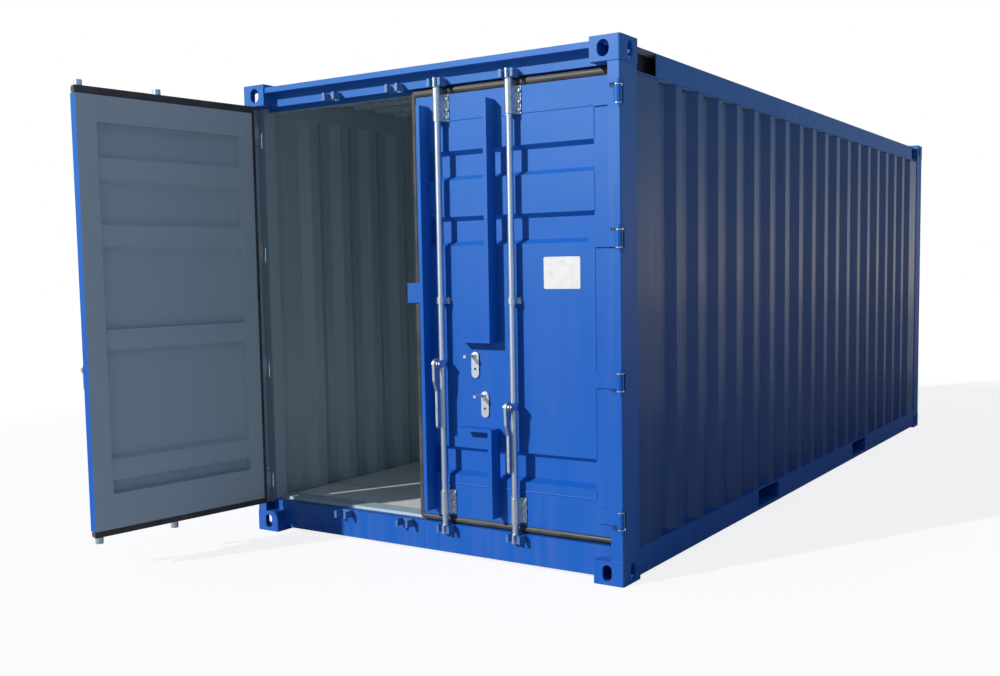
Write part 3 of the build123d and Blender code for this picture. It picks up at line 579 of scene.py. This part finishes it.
@dataclass(frozen=True)
class CastVinyl(PatchyFinish):
    """Cast vinyl film, stuck on the paint.

    It gives a smooth white with faint grime in patches and a slight ripple from the sheet behind it.
    """

    base: str = "#F1F1EF"
    patch: str = "#D5D3CC"
    patches: Pair = (16.0, 5.0)
    spread: Triple = (0.45, 0.7, 0.5)
    rough: Pair = (0.3, 0.45)
    grain: Pair = (16.0, 5.0)
    relief: Pair = (0.3, 0.002)


@dataclass(frozen=True)
class StudioFloor(Finish):
    """A matt pale studio floor.

    The camera sees it mostly white, wholly so away from the object, and it keeps the object's shadow.
    """

    seen: str = "#F2F2F2"
    lit: str = "#B4B4B4"  # what the object gets back from the floor
    kept_shadow: float = 0.24  # share of the plain shading that the camera sees
    glow: float = 1.1
    rough: float = 0.9
    fade: Pair = (6.5, 11.0)  # distances from the middle between which the shading goes

    def surface(self, nodes: Nodes) -> Socket:
        """Mixes plain white into a matt shader, for the camera alone.

        Args:
            nodes: the material's nodes.

        Returns:
            The mixed shader.
        """
        rays = nodes.add("ShaderNodeLightPath").outputs["Is Camera Ray"]
        colour = nodes.blend(rays, linear(self.lit), linear(self.seen))
        shader = nodes.add("ShaderNodeBsdfPrincipled", {"Base Color": colour, "Roughness": self.rough})
        away = nodes.vector("LENGTH", nodes.coordinate("Object"))
        white = nodes.ramp(away, *self.fade, 1.0 - self.kept_shadow, 1.0)
        light = nodes.add("ShaderNodeEmission", {"Color": linear("#FFFFFF"), "Strength": self.glow})
        return nodes.mix(nodes.number("MULTIPLY", white, rays), shader, light)


# Surfaces


def grid_quads(rows: int, columns: int, wrap_rows: bool = False) -> np.ndarray:
    """Numbers the corners of the quads on a grid of points, whose rows close on themselves.

    Args:
        rows: how many rows of points there are.
        columns: how many points each row has.
        wrap_rows: whether the last row joins the first.

    Returns:
        One line of four corner numbers for each quad.
    """
    row = np.arange(rows if wrap_rows else rows - 1)[:, None]
    column = np.arange(columns)[None, :]
    next_row, next_column = (row + 1) % rows, (column + 1) % columns
    corners = np.broadcast_arrays(
        row * columns + column, row * columns + next_column,
        next_row * columns + next_column, next_row * columns + column)
    return np.stack(corners, axis=-1).reshape(-1, 4)


def full_turn(columns: int) -> np.ndarray:
    """Angles of evenly spaced points round a circle."""
    return np.linspace(0.0, 2 * math.pi, columns, endpoint=False)


def turned(radius: np.ndarray, level: np.ndarray, turn: np.ndarray) -> np.ndarray:
    """Turns a profile about the Z axis: point = (r cos t, r sin t, z)."""
    level = np.broadcast_to(level, np.broadcast_shapes(radius.shape, turn.shape))
    return np.stack([radius * np.cos(turn), radius * np.sin(turn), level], axis=-1)


def rounded_loop(low: Pair, high: Pair, radius: float) -> np.ndarray:
    """Works out a rectangle with rounded corners: point = corner centre + radius (cos t, sin t).

    Args:
        low: its lowest coordinates.
        high: its highest coordinates.
        radius: the corners' radius.

    Returns:
        The points in order, ARC for each corner.
    """
    left, foot = low[0] + radius, low[1] + radius
    right, head = high[0] - radius, high[1] - radius
    centres = np.array([(right, head), (left, head), (left, foot), (right, foot)])
    turn = np.linspace(0.0, math.pi / 2, ARC)[None, :] + np.arange(4)[:, None] * math.pi / 2
    arc = np.stack([np.cos(turn), np.sin(turn)], axis=-1) * radius
    return (centres[:, None, :] + arc).reshape(-1, 2)


def plate_rings(outline: np.ndarray, rings: Pairs, thickness: float) -> tuple[np.ndarray, ...]:
    """Fills an outline with a low plate: ring k is middle + scale_k (outline - middle), raised by rise_k.

    Args:
        outline: points in the plate's plane, two coordinates each.
        rings: pairs of scale and share of the thickness, from the rim to a pole.
        thickness: the plate's thickness.

    Returns:
        Grids of the two coordinates and of the height above the plane.
    """
    middle = outline.mean(axis=0)
    scale, rise = np.array(rings).T
    flat = middle + (outline - middle)[None] * scale[:, None, None]
    return flat[..., 0], flat[..., 1], np.broadcast_to((rise * thickness)[:, None], flat.shape[:2])


def mesh_object(name: str, points: np.ndarray, quads: np.ndarray, material: Material) -> bpy.types.Object:
    """Makes an object with its seams and poles closed and its faces outward.

    Args:
        name: the object's name.
        points: one line of x, y, z in metres for each point.
        quads: one line of four point numbers for each face.
        material: its finish.

    Returns:
        The object, linked to the scene.
    """
    mesh = bpy.data.meshes.new(name)
    mesh.from_pydata(points.tolist(), [], quads.tolist())
    work = bmesh.new()
    work.from_mesh(mesh)
    bmesh.ops.remove_doubles(work, verts=work.verts, dist=MERGE)
    bmesh.ops.dissolve_degenerate(work, edges=work.edges, dist=THIN)
    bmesh.ops.recalc_face_normals(work, faces=work.faces)
    work.to_mesh(mesh)
    work.free()
    mesh.polygons.foreach_set("use_smooth", np.ones(len(mesh.polygons), dtype=bool))
    mesh.set_sharp_from_angle(angle=SHARP)
    mesh.materials.append(material)
    made = bpy.data.objects.new(name, mesh)
    bpy.context.scene.collection.objects.link(made)
    return made


@dataclass
class Fitting:
    """A small fitting, gathered from grids of points in millimetres to become one mesh."""

    side: Side = Side.RIGHT  # the leaf that it is carried to
    points: list[np.ndarray] = field(default_factory=list, init=False)
    quads: list[np.ndarray] = field(default_factory=list, init=False)

    def draw(self) -> None:
        """Adds the fitting's surfaces."""
        raise NotImplementedError

    def add(self, grid: np.ndarray, wrap_rows: bool = False) -> None:
        """Adds one surface.

        Args:
            grid: points as rows, columns and x, y, z.
            wrap_rows: whether the last row joins the first.
        """
        count = sum(len(points) for points in self.points)
        rows, columns = grid.shape[:2]
        self.points.append(grid.reshape(-1, 3))
        self.quads.append(grid_quads(rows, columns, wrap_rows) + count)

    def repeat(self, grid: np.ndarray, places: np.ndarray | list[Triple], out: Triple = FRONT) -> None:
        """Stands copies of a surface drawn about the Z axis at several places.

        The axis is turned to point out: point = place + x right + y up + z out, with right = up x out.

        Args:
            grid: points as rows, columns and x, y, z.
            places: one line of x, y, z for each copy.
            out: the direction that the axis takes.
        """
        upward = (0.0, 1.0, 0.0) if out == UP else UP
        copy = grid @ np.stack([np.cross(upward, out), upward, out])
        for place in places:
            self.add(copy + place)

    def build(self, name: str, material: Material, body: str, slot: str) -> None:
        """Draws the fitting, makes its mesh and rides it on its body.

        Args:
            name: the piece's name.
            material: its finish.
            body: the CAD body that it moves with.
            slot: the name of a material slot; it is not used.
        """
        self.draw()
        points = self.side.carry(np.concatenate(self.points)) * MM
        made = mesh_object(name, points, np.concatenate(self.quads), material)
        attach(made, body)
        LOG.info("%s: %d faces on %s", name, len(made.data.polygons), body)


@dataclass(frozen=True)
class HexBolt:
    """A hexagon bolt head on a round washer, in millimetres."""

    across_flats: float
    head: float
    washer_radius: float
    washer: float = 2.5
    chamfer: float = 1.6
    crown: float = 0.9  # share of the corners' distance where the top is flat
    rounding: float = 0.2  # share of the washer's thickness
    columns: int = 24

    def grid(self) -> np.ndarray:
        """Works out the rings of the head about the Z axis, from its seat to the pole on top.

        Ring k is at height z_k, with radius r_k on a round ring and r_k cos 30 / cos(turn from the middle
        of the side) on a hexagonal one, so that r_k is the corner's distance.

        Returns:
            The grid of points, one row for each ring.
        """
        turn = full_turn(self.columns)
        sixth = math.pi / 3
        hexagon = math.cos(sixth / 2) / np.cos(turn % sixth - sixth / 2)
        corner = self.across_flats / 2 / math.cos(sixth / 2)
        top = self.washer + self.head
        edge = self.washer * self.rounding
        rings = np.array([
            (0.0, 0.0, 0), (self.washer_radius, 0.0, 0), (self.washer_radius, self.washer - edge, 0),
            (self.washer_radius - edge, self.washer, 0), (corner, self.washer, 1),
            (corner, top - self.chamfer, 1), (corner * self.crown, top, 0), (0.0, top, 0)])
        radius = rings[:, 0:1] * np.where(rings[:, 2:3] > 0, hexagon[None, :], 1.0)
        return turned(radius, rings[:, 1:2], turn)


@dataclass(frozen=True)
class Bead:
    """A weld bead laid along a line, in millimetres."""

    width: float = 9.0
    height: float = 3.2
    ripple: float = 0.14  # share of the height
    pitch: float = 13.0  # real ripples are about 4 apart, drawn coarser so that they show
    step: float = 3.5
    fewest: int = 6
    columns: int = 10
    root: float = 0.25  # share of the height on the side that is sunk in the steel

    def grid(self, corners: list[Triple], normals: list[Triple]) -> np.ndarray:
        """Carries a flattened round section along a line.

        The section's point at angle t is line + side (w / 2) cos t + normal h sin t (1 + ripple
        |sin(pi s / pitch)|), with its lower half flattened. Both shrink to nothing at the line's ends.

        Args:
            corners: the line's corners.
            normals: the direction away from the steel at each corner.

        Returns:
            The grid of points, one row for each step along the line.
        """
        knots, outward = np.array(corners, dtype=float), np.array(normals, dtype=float)
        lengths = np.concatenate([[0.0], np.cumsum(np.linalg.norm(np.diff(knots, axis=0), axis=1))])
        rows = max(int(lengths[-1] / self.step), self.fewest)
        run = np.linspace(0.0, lengths[-1], rows)
        line = np.stack([np.interp(run, lengths, knots[:, axis]) for axis in range(3)], axis=-1)
        away = np.stack([np.interp(run, lengths, outward[:, axis]) for axis in range(3)], axis=-1)
        away /= np.linalg.norm(away, axis=1, keepdims=True)
        side = np.cross(np.gradient(line, axis=0), away)
        side /= np.linalg.norm(side, axis=1, keepdims=True)
        ends = np.minimum(run, lengths[-1] - run) / self.width
        taper = np.sqrt(np.clip(ends, 0.0, 1.0))[:, None]
        turn = full_turn(self.columns)[None, :]
        rise = np.sin(turn)
        rise = np.where(rise < 0, rise * self.root, rise)
        wave = 1 + self.ripple * np.abs(np.sin(math.pi * run / self.pitch))[:, None]
        across = (self.width / 2 * taper * np.cos(turn))[..., None] * side[:, None, :]
        up = (self.height * taper * wave * rise)[..., None] * away[:, None, :]
        return line[:, None, :] + across + up


# Fittings


@dataclass
class GasketBulb(Fitting):
    """The hollow bulb that stands forward of the flat seal round a leaf, in millimetres."""

    bottom: float = 212.0
    top: float = 2424.0
    hinge_seal: float = 24.0
    bottom_seal: float = 33.0
    top_seal: float = 39.0
    seat: float = -2934.0  # the flat seal's front
    crown: float = 14.0
    sunk: float = 1.5  # how far its back lies in the flat seal
    steps: int = 15
    inner_radius: float = 4.0
    outer_radius: float = 26.0
    free_inset: float = 6.0  # from the free edge to the ends of a bulb that stops there

    def draw(self) -> None:
        """Draws the bulb: the section runs from the inner loop (t = 0) to the outer one (t = 1).

        Its front is y = seat - crown sqrt(1 - (2 t - 1)^2), and it comes back along the flat seal.
        Without a seam seal, it runs from the bottom's free end round the hinge side to the top's, and
        both ends are closed.
        """
        free_edge, seam_seal = FREE_EDGE[self.side], SEAM_SEAL[self.side]
        inner = rounded_loop((free_edge, self.bottom), (HINGE_EDGE, self.top), self.inner_radius)
        outer = rounded_loop((free_edge - seam_seal, self.bottom - self.bottom_seal),
                             (HINGE_EDGE + self.hinge_seal, self.top + self.top_seal), self.outer_radius)
        turn = np.linspace(0.0, math.pi, self.steps)
        back = np.array([0.75, 0.5, 0.25])
        share = np.concatenate([(1 - np.cos(turn)) / 2, back])[None, :, None]
        depth = np.concatenate([self.crown * np.sin(turn), np.full_like(back, -self.sunk)])
        flat = inner[:, None, :] * (1 - share) + outer[:, None, :] * share
        level = np.broadcast_to(self.seat - depth, flat.shape[:2])
        grid = np.stack([flat[..., 0], level, flat[..., 1]], axis=-1)
        closed = seam_seal > 0
        if not closed:
            free = np.array([free_edge + self.free_inset, 0.0, 0.0])
            first, last = (grid[row] * (0, 1, 1) + free for row in (3 * ARC - 1, ARC))
            start, end = (np.broadcast_to(ring.mean(axis=0), ring.shape) for ring in (first, last))
            grid = np.concatenate([[start, first], grid[3 * ARC:], grid[:ARC], [last, end]])
        self.add(grid, wrap_rows=closed)


@dataclass
class LeafFasteners(Fitting):
    """Bolts and nuts that hold the rod straps and handle catches to a leaf, in millimetres."""

    bolt: HexBolt = HexBolt(17.0, 7.0, 11.0)
    small: HexBolt = HexBolt(11.0, 5.0, 6.5, 1.5)
    strap_front: float = -2950.0
    sleeve_reach: float = 34.5
    sleeve_levels: tuple[float, ...] = (2305.0, 2345.0, 2400.0, 252.0, 295.0, 338.0)
    guide_reach: float = 26.6
    guide_levels: tuple[float, ...] = (1362.2,)
    catch_front: float = -2952.0
    catch_levels: Pair = (1076.0, 872.0)

    def draw(self) -> None:
        """Draws the bolts: pairs each side of both rods, one pair at each guide and one on each catch."""
        for bolt, reach, levels in ((self.bolt, self.sleeve_reach, self.sleeve_levels),
                                    (self.small, self.guide_reach, self.guide_levels)):
            x, offset, z = np.meshgrid(ROD_X, (-reach, reach), levels, indexing="ij")
            places = np.stack([x + offset, np.full_like(x, self.strap_front), z], axis=-1)
            self.repeat(bolt.grid(), places.reshape(-1, 3))
        places = [(x, self.catch_front, z) for x, z in zip(CATCH_X, self.catch_levels)]
        self.repeat(self.small.grid(), places)


@dataclass
class PivotBolts(Fitting):
    """The bolt head and the nut on a handle's pivot, in millimetres."""

    rod: int = 0  # the inner rod, or 1 for the outer
    half_fork: float = 15.3
    bolt: HexBolt = HexBolt(22.0, 8.0, 15.0)

    def draw(self) -> None:
        """Draws one head at each end of the pivot, pointing along it."""
        for way in (-1.0, 1.0):
            place = (ROD_X[self.rod] + way * self.half_fork, PIVOT_Y, PIVOT_Z[self.rod])
            self.repeat(self.bolt.grid(), [place], (way, 0.0, 0.0))


@dataclass
class HingeWashers(Fitting):
    """Thick washers between the hinge knuckles and their lugs, in millimetres."""

    centres: tuple[float, ...] = (2322.2, 1656.4, 979.6, 313.8)
    half_knuckle: float = 38.0
    gap: float = 9.0
    lift: float = 0.3  # from the foot of the gap
    slack: float = 1.3  # from its top
    sunk: float = 1.0  # how much higher the lower washers stand
    inner: float = 11.4
    outer: float = 17.5
    bevel: Pair = (1.2, 1.3)  # inward and upward
    columns: int = 32

    def draw(self) -> None:
        """Draws a bevelled washer above and below each knuckle, as a profile turned about the pin."""
        edge, top = self.outer - self.bevel[0], self.gap - self.slack
        rings = np.array([
            (self.inner, self.lift), (edge, self.lift), (self.outer, self.lift + self.bevel[1]),
            (self.outer, top - self.bevel[1]), (edge, top), (self.inner, top), (self.inner, self.lift)])
        levels = [centre + self.half_knuckle for centre in self.centres]
        levels += [centre - self.half_knuckle - self.gap + self.sunk for centre in self.centres]
        grid = turned(rings[:, 0:1], rings[:, 1:2], full_turn(self.columns))
        self.repeat(grid, [(PIN_X, PIN_Y, level) for level in levels], UP)


@dataclass
class LeafSeams(Fitting):
    """Weld beads where a leaf's sheet meets its frame, in millimetres."""

    joints: Pair = (2290.0, 392.0)
    spans: Pairs = ((392.0, 440.0), (590.0, 1644.0), (1794.0, 1985.0), (2134.0, 2290.0))
    bead: Bead = Bead()
    fine: Bead = Bead(width=6.0, height=2.2)

    def draw(self) -> None:
        """Draws the beads along the sheet's top and bottom and the upright ones between the grooves."""
        lines = [(self.bead, (SHEET_LEFT[self.side], FACE_Y, z), (SHEET_RIGHT, FACE_Y, z))
                 for z in self.joints]
        lines += [(self.fine, (SHEET_RIGHT, FACE_Y, low), (SHEET_RIGHT, FACE_Y, high))
                  for low, high in self.spans]
        for bead, start, end in lines:
            self.add(bead.grid([start, end], [FRONT, FRONT]))


@dataclass
class GrooveEnds(Fitting):
    """Plates that close the ends of a leaf's cross grooves, in millimetres."""

    levels: Triple = (515.0, 1719.0, 2059.5)
    half_height: float = 75.0
    slope: float = 22.0
    near: float = 0.3
    far: float = 34.0
    thickness: float = 1.2
    rings: Pairs = ((1.0, -0.4), (1.0, 0.7), (0.97, 1.0), (0.5, 1.0), (0.0, 1.0))

    def draw(self) -> None:
        """Draws a plate of the groove's outline at both ends of each groove."""
        high = self.half_height - self.slope
        outline = np.array([(self.near, self.half_height), (self.far, high), (self.far, -high),
                            (self.near, -self.half_height)])
        behind, up, rise = plate_rings(outline, self.rings, self.thickness)
        for edge, way in ((SHEET_LEFT[self.side], 1.0), (SHEET_RIGHT, -1.0)):
            for level in self.levels:
                self.add(np.stack([edge + way * rise, FACE_Y + behind, level + up], axis=-1))


@dataclass
class DataPlate(Fitting):
    """A blank white vinyl plate on the right hand leaf, in millimetres."""

    low: Pair = (745.0, 1420.0)
    high: Pair = (952.0, 1578.0)
    thickness: float = 1.4
    corner: float = 9.0
    rings: Pairs = ((1.0, -0.4), (1.0, 0.7), (0.994, 1.0), (0.97, 1.0), (0.5, 1.0), (0.0, 1.0))

    def draw(self) -> None:
        """Draws the plate from one rounded rectangle."""
        outline = rounded_loop(self.low, self.high, self.corner)
        x, z, rise = plate_rings(outline, self.rings, self.thickness)
        self.add(np.stack([x, FACE_Y - rise, z], axis=-1))


@dataclass
class FrameWelds(Fitting):
    """Weld beads where the castings, posts and beams of the end frame meet, in millimetres."""

    post_inner: float = 1151.0
    post_outer: float = 1215.0
    post_front: float = -3025.0
    post_back: float = -2852.0
    bend: float = 5.0  # how far from the post's corner the bead turns
    joints: Pair = (118.0, 2473.0)
    beam_end: float = 1057.0
    beam_spans: Pairs = ((20.0, 116.0), (2475.0, 2540.0))
    sill_face: float = -2957.0
    sill_seams: Pair = (-28.0, 67.0)
    sill_span: Pair = (20.0, 168.0)
    bead: Bead = Bead(width=8.0, height=3.0)
    fine: Bead = Bead(width=5.0, height=1.6)

    def draw(self) -> None:
        """Draws a bead round each post's ends and upright ones on the sill and beside the castings."""
        for way in (-1.0, 1.0):
            outward = (way, 0.0, 0.0)
            for level in self.joints:
                corners = [
                    (way * self.post_inner, self.post_front, level),
                    (way * (self.post_outer - self.bend), self.post_front, level),
                    (way * self.post_outer, self.post_front + self.bend, level),
                    (way * self.post_outer, self.post_back, level)]
                self.add(self.bead.grid(corners, [FRONT, FRONT, outward, outward]))
            for span in self.beam_spans:
                edge = [(way * self.beam_end, self.sill_face, level) for level in span]
                self.add(self.bead.grid(edge, [FRONT, FRONT]))
        for x in self.sill_seams:
            seam = [(x, self.sill_face, level) for level in self.sill_span]
            self.add(self.fine.grid(seam, [FRONT, FRONT]))


@dataclass
class WallWelds(Fitting):
    """The beads along the foot and the head of the side walls, in millimetres."""

    margin: float = 210.0
    pitch: float = 278.0
    flat: float = 72.0
    slope: float = 68.0
    depth: float = 36.0
    outer: float = 1212.4
    reach: float = 2851.0
    levels: Pair = (155.4, 2438.6)
    bead: Bead = Bead(width=5.0, height=2.6, step=5.0)

    def line(self) -> np.ndarray:
        """Works out the wall's running line.

        Each wave starts on its outer flat, slopes in by the depth, runs flat and slopes out again.

        Returns:
            The line's corners, one line of y and x each.
        """
        waved = 2 * self.reach - 2 * self.margin
        waves = round(waved / self.pitch)
        step = waved / waves
        starts = self.margin - self.reach + np.arange(waves) * step
        half = self.flat / 2
        offsets = np.array([half, half + self.slope, step - half - self.slope, step - half])
        along = (starts[:, None] + offsets).ravel()
        inner = self.outer - self.depth
        across = np.tile([self.outer, inner, inner, self.outer], waves)
        return np.stack([np.concatenate([[-self.reach], along, [self.reach]]),
                         np.concatenate([[self.outer], across, [self.outer]])], axis=-1)

    def draw(self) -> None:
        """Draws one bead at the foot and one at the head of both walls, along the running line."""
        line = self.line()
        for way in (-1.0, 1.0):
            for level, lean in zip(self.levels, (1.0, -1.0)):
                corners = [(way * x, y, level) for y, x in line]
                self.add(self.bead.grid(corners, [(way, 0.0, lean)] * len(corners)))


@dataclass
class RecessShadeCoat(Fitting):
    """A dark coat of painted shade on the inner wall of the top rails' open stretches beside the
    castings, in millimetres.
    """

    wall: float = 1159.0
    low: Pair = (2540.0, 2447.0)
    high: Pair = (2848.0, 2549.0)
    thickness: float = 1.6
    corner: float = 8.0
    rings: Pairs = ((1.0, -0.4), (1.0, 0.6), (0.99, 1.0), (0.95, 1.0), (0.5, 1.0), (0.0, 1.0))

    def draw(self) -> None:
        """Draws four coats from one rounded rectangle, one at each end of both rails."""
        outline = rounded_loop(self.low, self.high, self.corner)
        y, z, rise = plate_rings(outline, self.rings, self.thickness)
        coat = np.stack([self.wall + rise, y, z], axis=-1)
        for across in (-1.0, 1.0):
            for along in (-1.0, 1.0):
                self.add(coat * (across, along, 1.0))


@dataclass(frozen=True)
class Studio:
    """Camera, key light, pale surroundings and floor. Lengths are in metres and angles in degrees."""

    place: Triple = (3.5479, -7.5511, 1.5180)
    heading: float = 32.684
    tilt: float = 85.264
    roll: float = -0.864
    sensor: float = 36.0
    lens: float = 39.12
    shift: Pair = (-0.01915, 0.02157)
    farthest: float = 200.0
    sun_heading: float = 27.75  # from +Y towards +X
    sun_height: float = 25.0
    sun_power: float = 2.98
    sun_spread: float = 1.2
    fill: Pair = (0.15, 0.32)  # brightness of the fill light, low down and high up
    fill_heights: Pair = (0.05, 0.8)  # sines of the heights where it is so
    fill_colour: str = "#DFE9F8"
    sky: str = "#A6CAF4"  # the surroundings in reflections
    sky_bright: float = 0.56
    haze: str = "#F4EEE6"  # and at their horizon
    haze_bright: float = 0.98
    haze_top: float = 0.15  # sine of the height at which the haze has gone
    floor_radius: float = 45.0
    floor_rings: int = 12
    floor_spokes: int = 64

    def camera(self) -> None:
        """Sets the camera at the photograph's viewing place."""
        data = bpy.data.cameras.new("camera")
        data.sensor_width = self.sensor
        data.lens = self.lens
        data.shift_x, data.shift_y = self.shift
        data.clip_end = self.farthest
        seen = bpy.data.objects.new("camera", data)
        turn = Euler((0.0, 0.0, math.radians(self.heading))).to_matrix()
        turn = turn @ Euler((math.radians(self.tilt), 0.0, 0.0)).to_matrix()
        turn = turn @ Euler((0.0, 0.0, math.radians(self.roll))).to_matrix()
        seen.matrix_world = turn.to_4x4()
        seen.location = self.place
        bpy.context.scene.collection.objects.link(seen)
        bpy.context.scene.camera = seen

    def key(self) -> None:
        """Sets one slightly soft key light from the front left."""
        lamp = bpy.data.lights.new("key", "SUN")
        lamp.energy = self.sun_power
        lamp.angle = math.radians(self.sun_spread)
        key = bpy.data.objects.new("key", lamp)
        heading, height = math.radians(self.sun_heading), math.radians(self.sun_height)
        level = math.cos(height)
        ray = Vector((math.sin(heading) * level, math.cos(heading) * level, -math.sin(height)))
        key.rotation_euler = ray.to_track_quat("-Z", "Y").to_euler()
        bpy.context.scene.collection.objects.link(key)

    def surroundings(self) -> None:
        """Sets a pale fill from all round, a hazy sky in reflections and white for the camera."""
        world = bpy.data.worlds.new("studio")
        bpy.context.scene.world = world
        world.use_nodes = True
        nodes = Nodes(world.node_tree)
        nodes.tree.nodes.clear()
        height = nodes.axes(nodes.coordinate("Generated"))[2]
        strength = nodes.ramp(height, *self.fill_heights, *self.fill)
        fill = nodes.add("ShaderNodeBackground",
                         {"Color": linear(self.fill_colour), "Strength": strength})
        clear = nodes.ramp(height, 0.0, self.haze_top, 0.0, 1.0)
        colour = nodes.blend(clear, linear(self.haze), linear(self.sky))
        bright = nodes.ramp(clear, 0.0, 1.0, self.haze_bright, self.sky_bright)
        rays = nodes.add("ShaderNodeLightPath").outputs
        camera = rays["Is Camera Ray"]
        pale = nodes.add("ShaderNodeBackground", {
            "Color": nodes.blend(camera, colour, linear("#FFFFFF")),
            "Strength": nodes.number("MAXIMUM", camera, bright)})
        seen = nodes.number("MAXIMUM", camera, rays["Is Glossy Ray"])
        seen = nodes.number("MAXIMUM", seen, rays["Is Transmission Ray"])
        nodes.add("ShaderNodeOutputWorld", {"Surface": nodes.mix(seen, fill, pale)})
        bpy.context.scene.view_settings.view_transform = "Standard"

    def floor(self) -> None:
        """Lays the floor: rings of a disc, with radius R s^2 for s from 0 to 1."""
        share = np.linspace(0.0, 1.0, self.floor_rings)[:, None]
        grid = turned(self.floor_radius * share ** 2, np.zeros((1, 1)), full_turn(self.floor_spokes))
        quads = grid_quads(self.floor_rings, self.floor_spokes)
        material = StudioFloor("matt_studio_floor").material()
        laid = mesh_object("floor", grid.reshape(-1, 3), quads, material)
        if sum(face.normal.z for face in laid.data.polygons) < 0:
            laid.data.flip_normals()

    def build(self) -> None:
        """Sets up the whole studio."""
        self.camera()
        self.key()
        self.surroundings()
        self.floor()


@dataclass
class Finishes:
    """Every finish of the container, made once."""

    made: dict[str, Material] = field(default_factory=dict)

    def build(self) -> None:
        """Makes the materials and logs each one."""
        finishes = {
            "paint": MarinePaint("marine_topcoat_blue"),
            "end_paint": MarinePaint("marine_topcoat_end_frame", LOAD_SPACE),
            "post_paint": MarinePaint("marine_topcoat_posts", POST_SPACE, gloss=0.3),
            "rail_paint": MarinePaint("marine_topcoat_rails", RAIL_SPACE),
            "sill_paint": MarinePaint("marine_topcoat_sill", SILL_SPACE),
            "lug_paint": MarinePaint("marine_topcoat_hinge_lugs",
                                     PlaneSplit(limit=0.5, middle=(-1.0, 0.0, 0.0))),
            # The keepers' pale blue is partly paint worn thin over zinc and partly painted highlight
            "rubbed": MarinePaint("marine_topcoat_thin_over_zinc_and_painted_highlight", None, "#5E8DC8", "#2F6BBD", "#6E9BD2"),
            "galvanised": GalvanisedSteel("hot_dip_galvanised_steel"),
            # The rods' blue tint is painted reflection of the blue doors and the sky on the zinc
            "rods": GalvanisedSteel("galvanised_drawn_tube_painted_reflection", "#C8D5E2", "#D5DFE9", 0.38, 0.44),
            "handles": GalvanisedSteel("galvanised_forged_steel", "#A9B1B8", "#C6CCD2", 0.44, 0.55),
            "rubber": ExtrudedRubber("extruded_epdm_rubber"),
            "deck": PaintedPlywood("painted_keruing_plywood"),
            "underframe": UnderbodyWax("bitumen_underbody_wax"),
            "vinyl": CastVinyl("cast_vinyl_film"),
        }
        # The wall sheets take a darker copy of the door blue: painted shade for walls out of the sun
        for name, split in WALLS.items():
            finishes[name] = MarinePaint(
                f"marine_topcoat_{name}_sheet", split, "#08468C", "#0D4D96", "#0F4F8F", gloss=0.8)
        for side in Side:
            splits = {"leaf_frame": frame_split(side), "leaf_sheet": sheet_split(side),
                      "hinge_blades": PlaneSplit(side.inward(), limit=0.05)}
            for name, split in splits.items():
                finishes[side.part(name)] = MarinePaint(f"marine_topcoat_{side.part(name)}", split)
        for name, finish in finishes.items():
            self.made[name] = finish.material()
            LOG.info("finish %s", finish.name)

    def dress(self) -> None:
        """Gives each CAD node its finish."""
        chosen = {
            "right_front_post": "post_paint", "left_front_post": "post_paint", "rear_posts": "end_paint",
            "door_header": "end_paint", "door_sill": "sill_paint", "top_side_rails": "rail_paint",
            "rear_header": "end_paint", "header_keepers": "rubbed", "sill_keepers": "rubbed",
            "right_side_wall": "right", "left_side_wall": "left", "rear_wall": "rear", "roof": "roof",
            "floor_deck": "deck", "floor_beams": "underframe",
        }
        parts = {
            "gasket": "rubber", "rod_brackets": "galvanised", "handle_catches": "galvanised",
            "inner_rod": "rods", "outer_rod": "rods", "inner_handle": "handles",
            "outer_handle": "handles", "hinge_lugs": "lug_paint",
        }
        for side in Side:
            chosen |= {side.part(node): finish for node, finish in parts.items()}
            chosen[side.part("leaf_panel")] = side.part("leaf_sheet")
            for name in ("leaf_frame", "hinge_blades"):
                chosen[side.part(name)] = side.part(name)
        for name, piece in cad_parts.items():
            for place in piece.material_slots:
                place.material = self.made[chosen.get(name, "paint")]
            LOG.info("dressed %s", name)


def main() -> None:
    """Builds the studio, the finishes and every fitting, in order."""
    logging.basicConfig(level=logging.INFO, format="%(name)s %(message)s")
    Studio().build()
    finishes = Finishes()
    finishes.build()
    finishes.dress()
    made = finishes.made
    for side in Side:
        part, door = side.part, side.part("door")
        GasketBulb(side).build(part("gasket_bulb"), made["rubber"], door, "rubber_seal")
        LeafSeams(side).build(part("leaf_welds"), made["paint"], door, "blue_paint")
        GrooveEnds(side).build(part("groove_ends"), made["paint"], door, "blue_paint")
        LeafFasteners(side).build(part("strap_bolts"), made["galvanised"], door, "galvanised")
        for rod, name in enumerate(("inner", "outer")):
            PivotBolts(side, rod).build(part(f"{name}_pivot_bolts"), made["handles"], part(f"{name}_rod"),
                                        "galvanised")
        HingeWashers(side).build(part("hinge_washers"), made["galvanised"], door, "galvanised")
    DataPlate().build("data_plate", made["vinyl"], "right_door", "blue_paint")
    FrameWelds().build("end_frame_welds", made["paint"], "container", "blue_paint")
    WallWelds().build("side_wall_welds", made["paint"], "container", "blue_paint")
    # The dark wax finish in the rails' recesses is painted shade
    RecessShadeCoat().build("rail_recess_painted_shade", made["underframe"], "container", "dark_underframe")


if __name__ == "__main__":
    main()
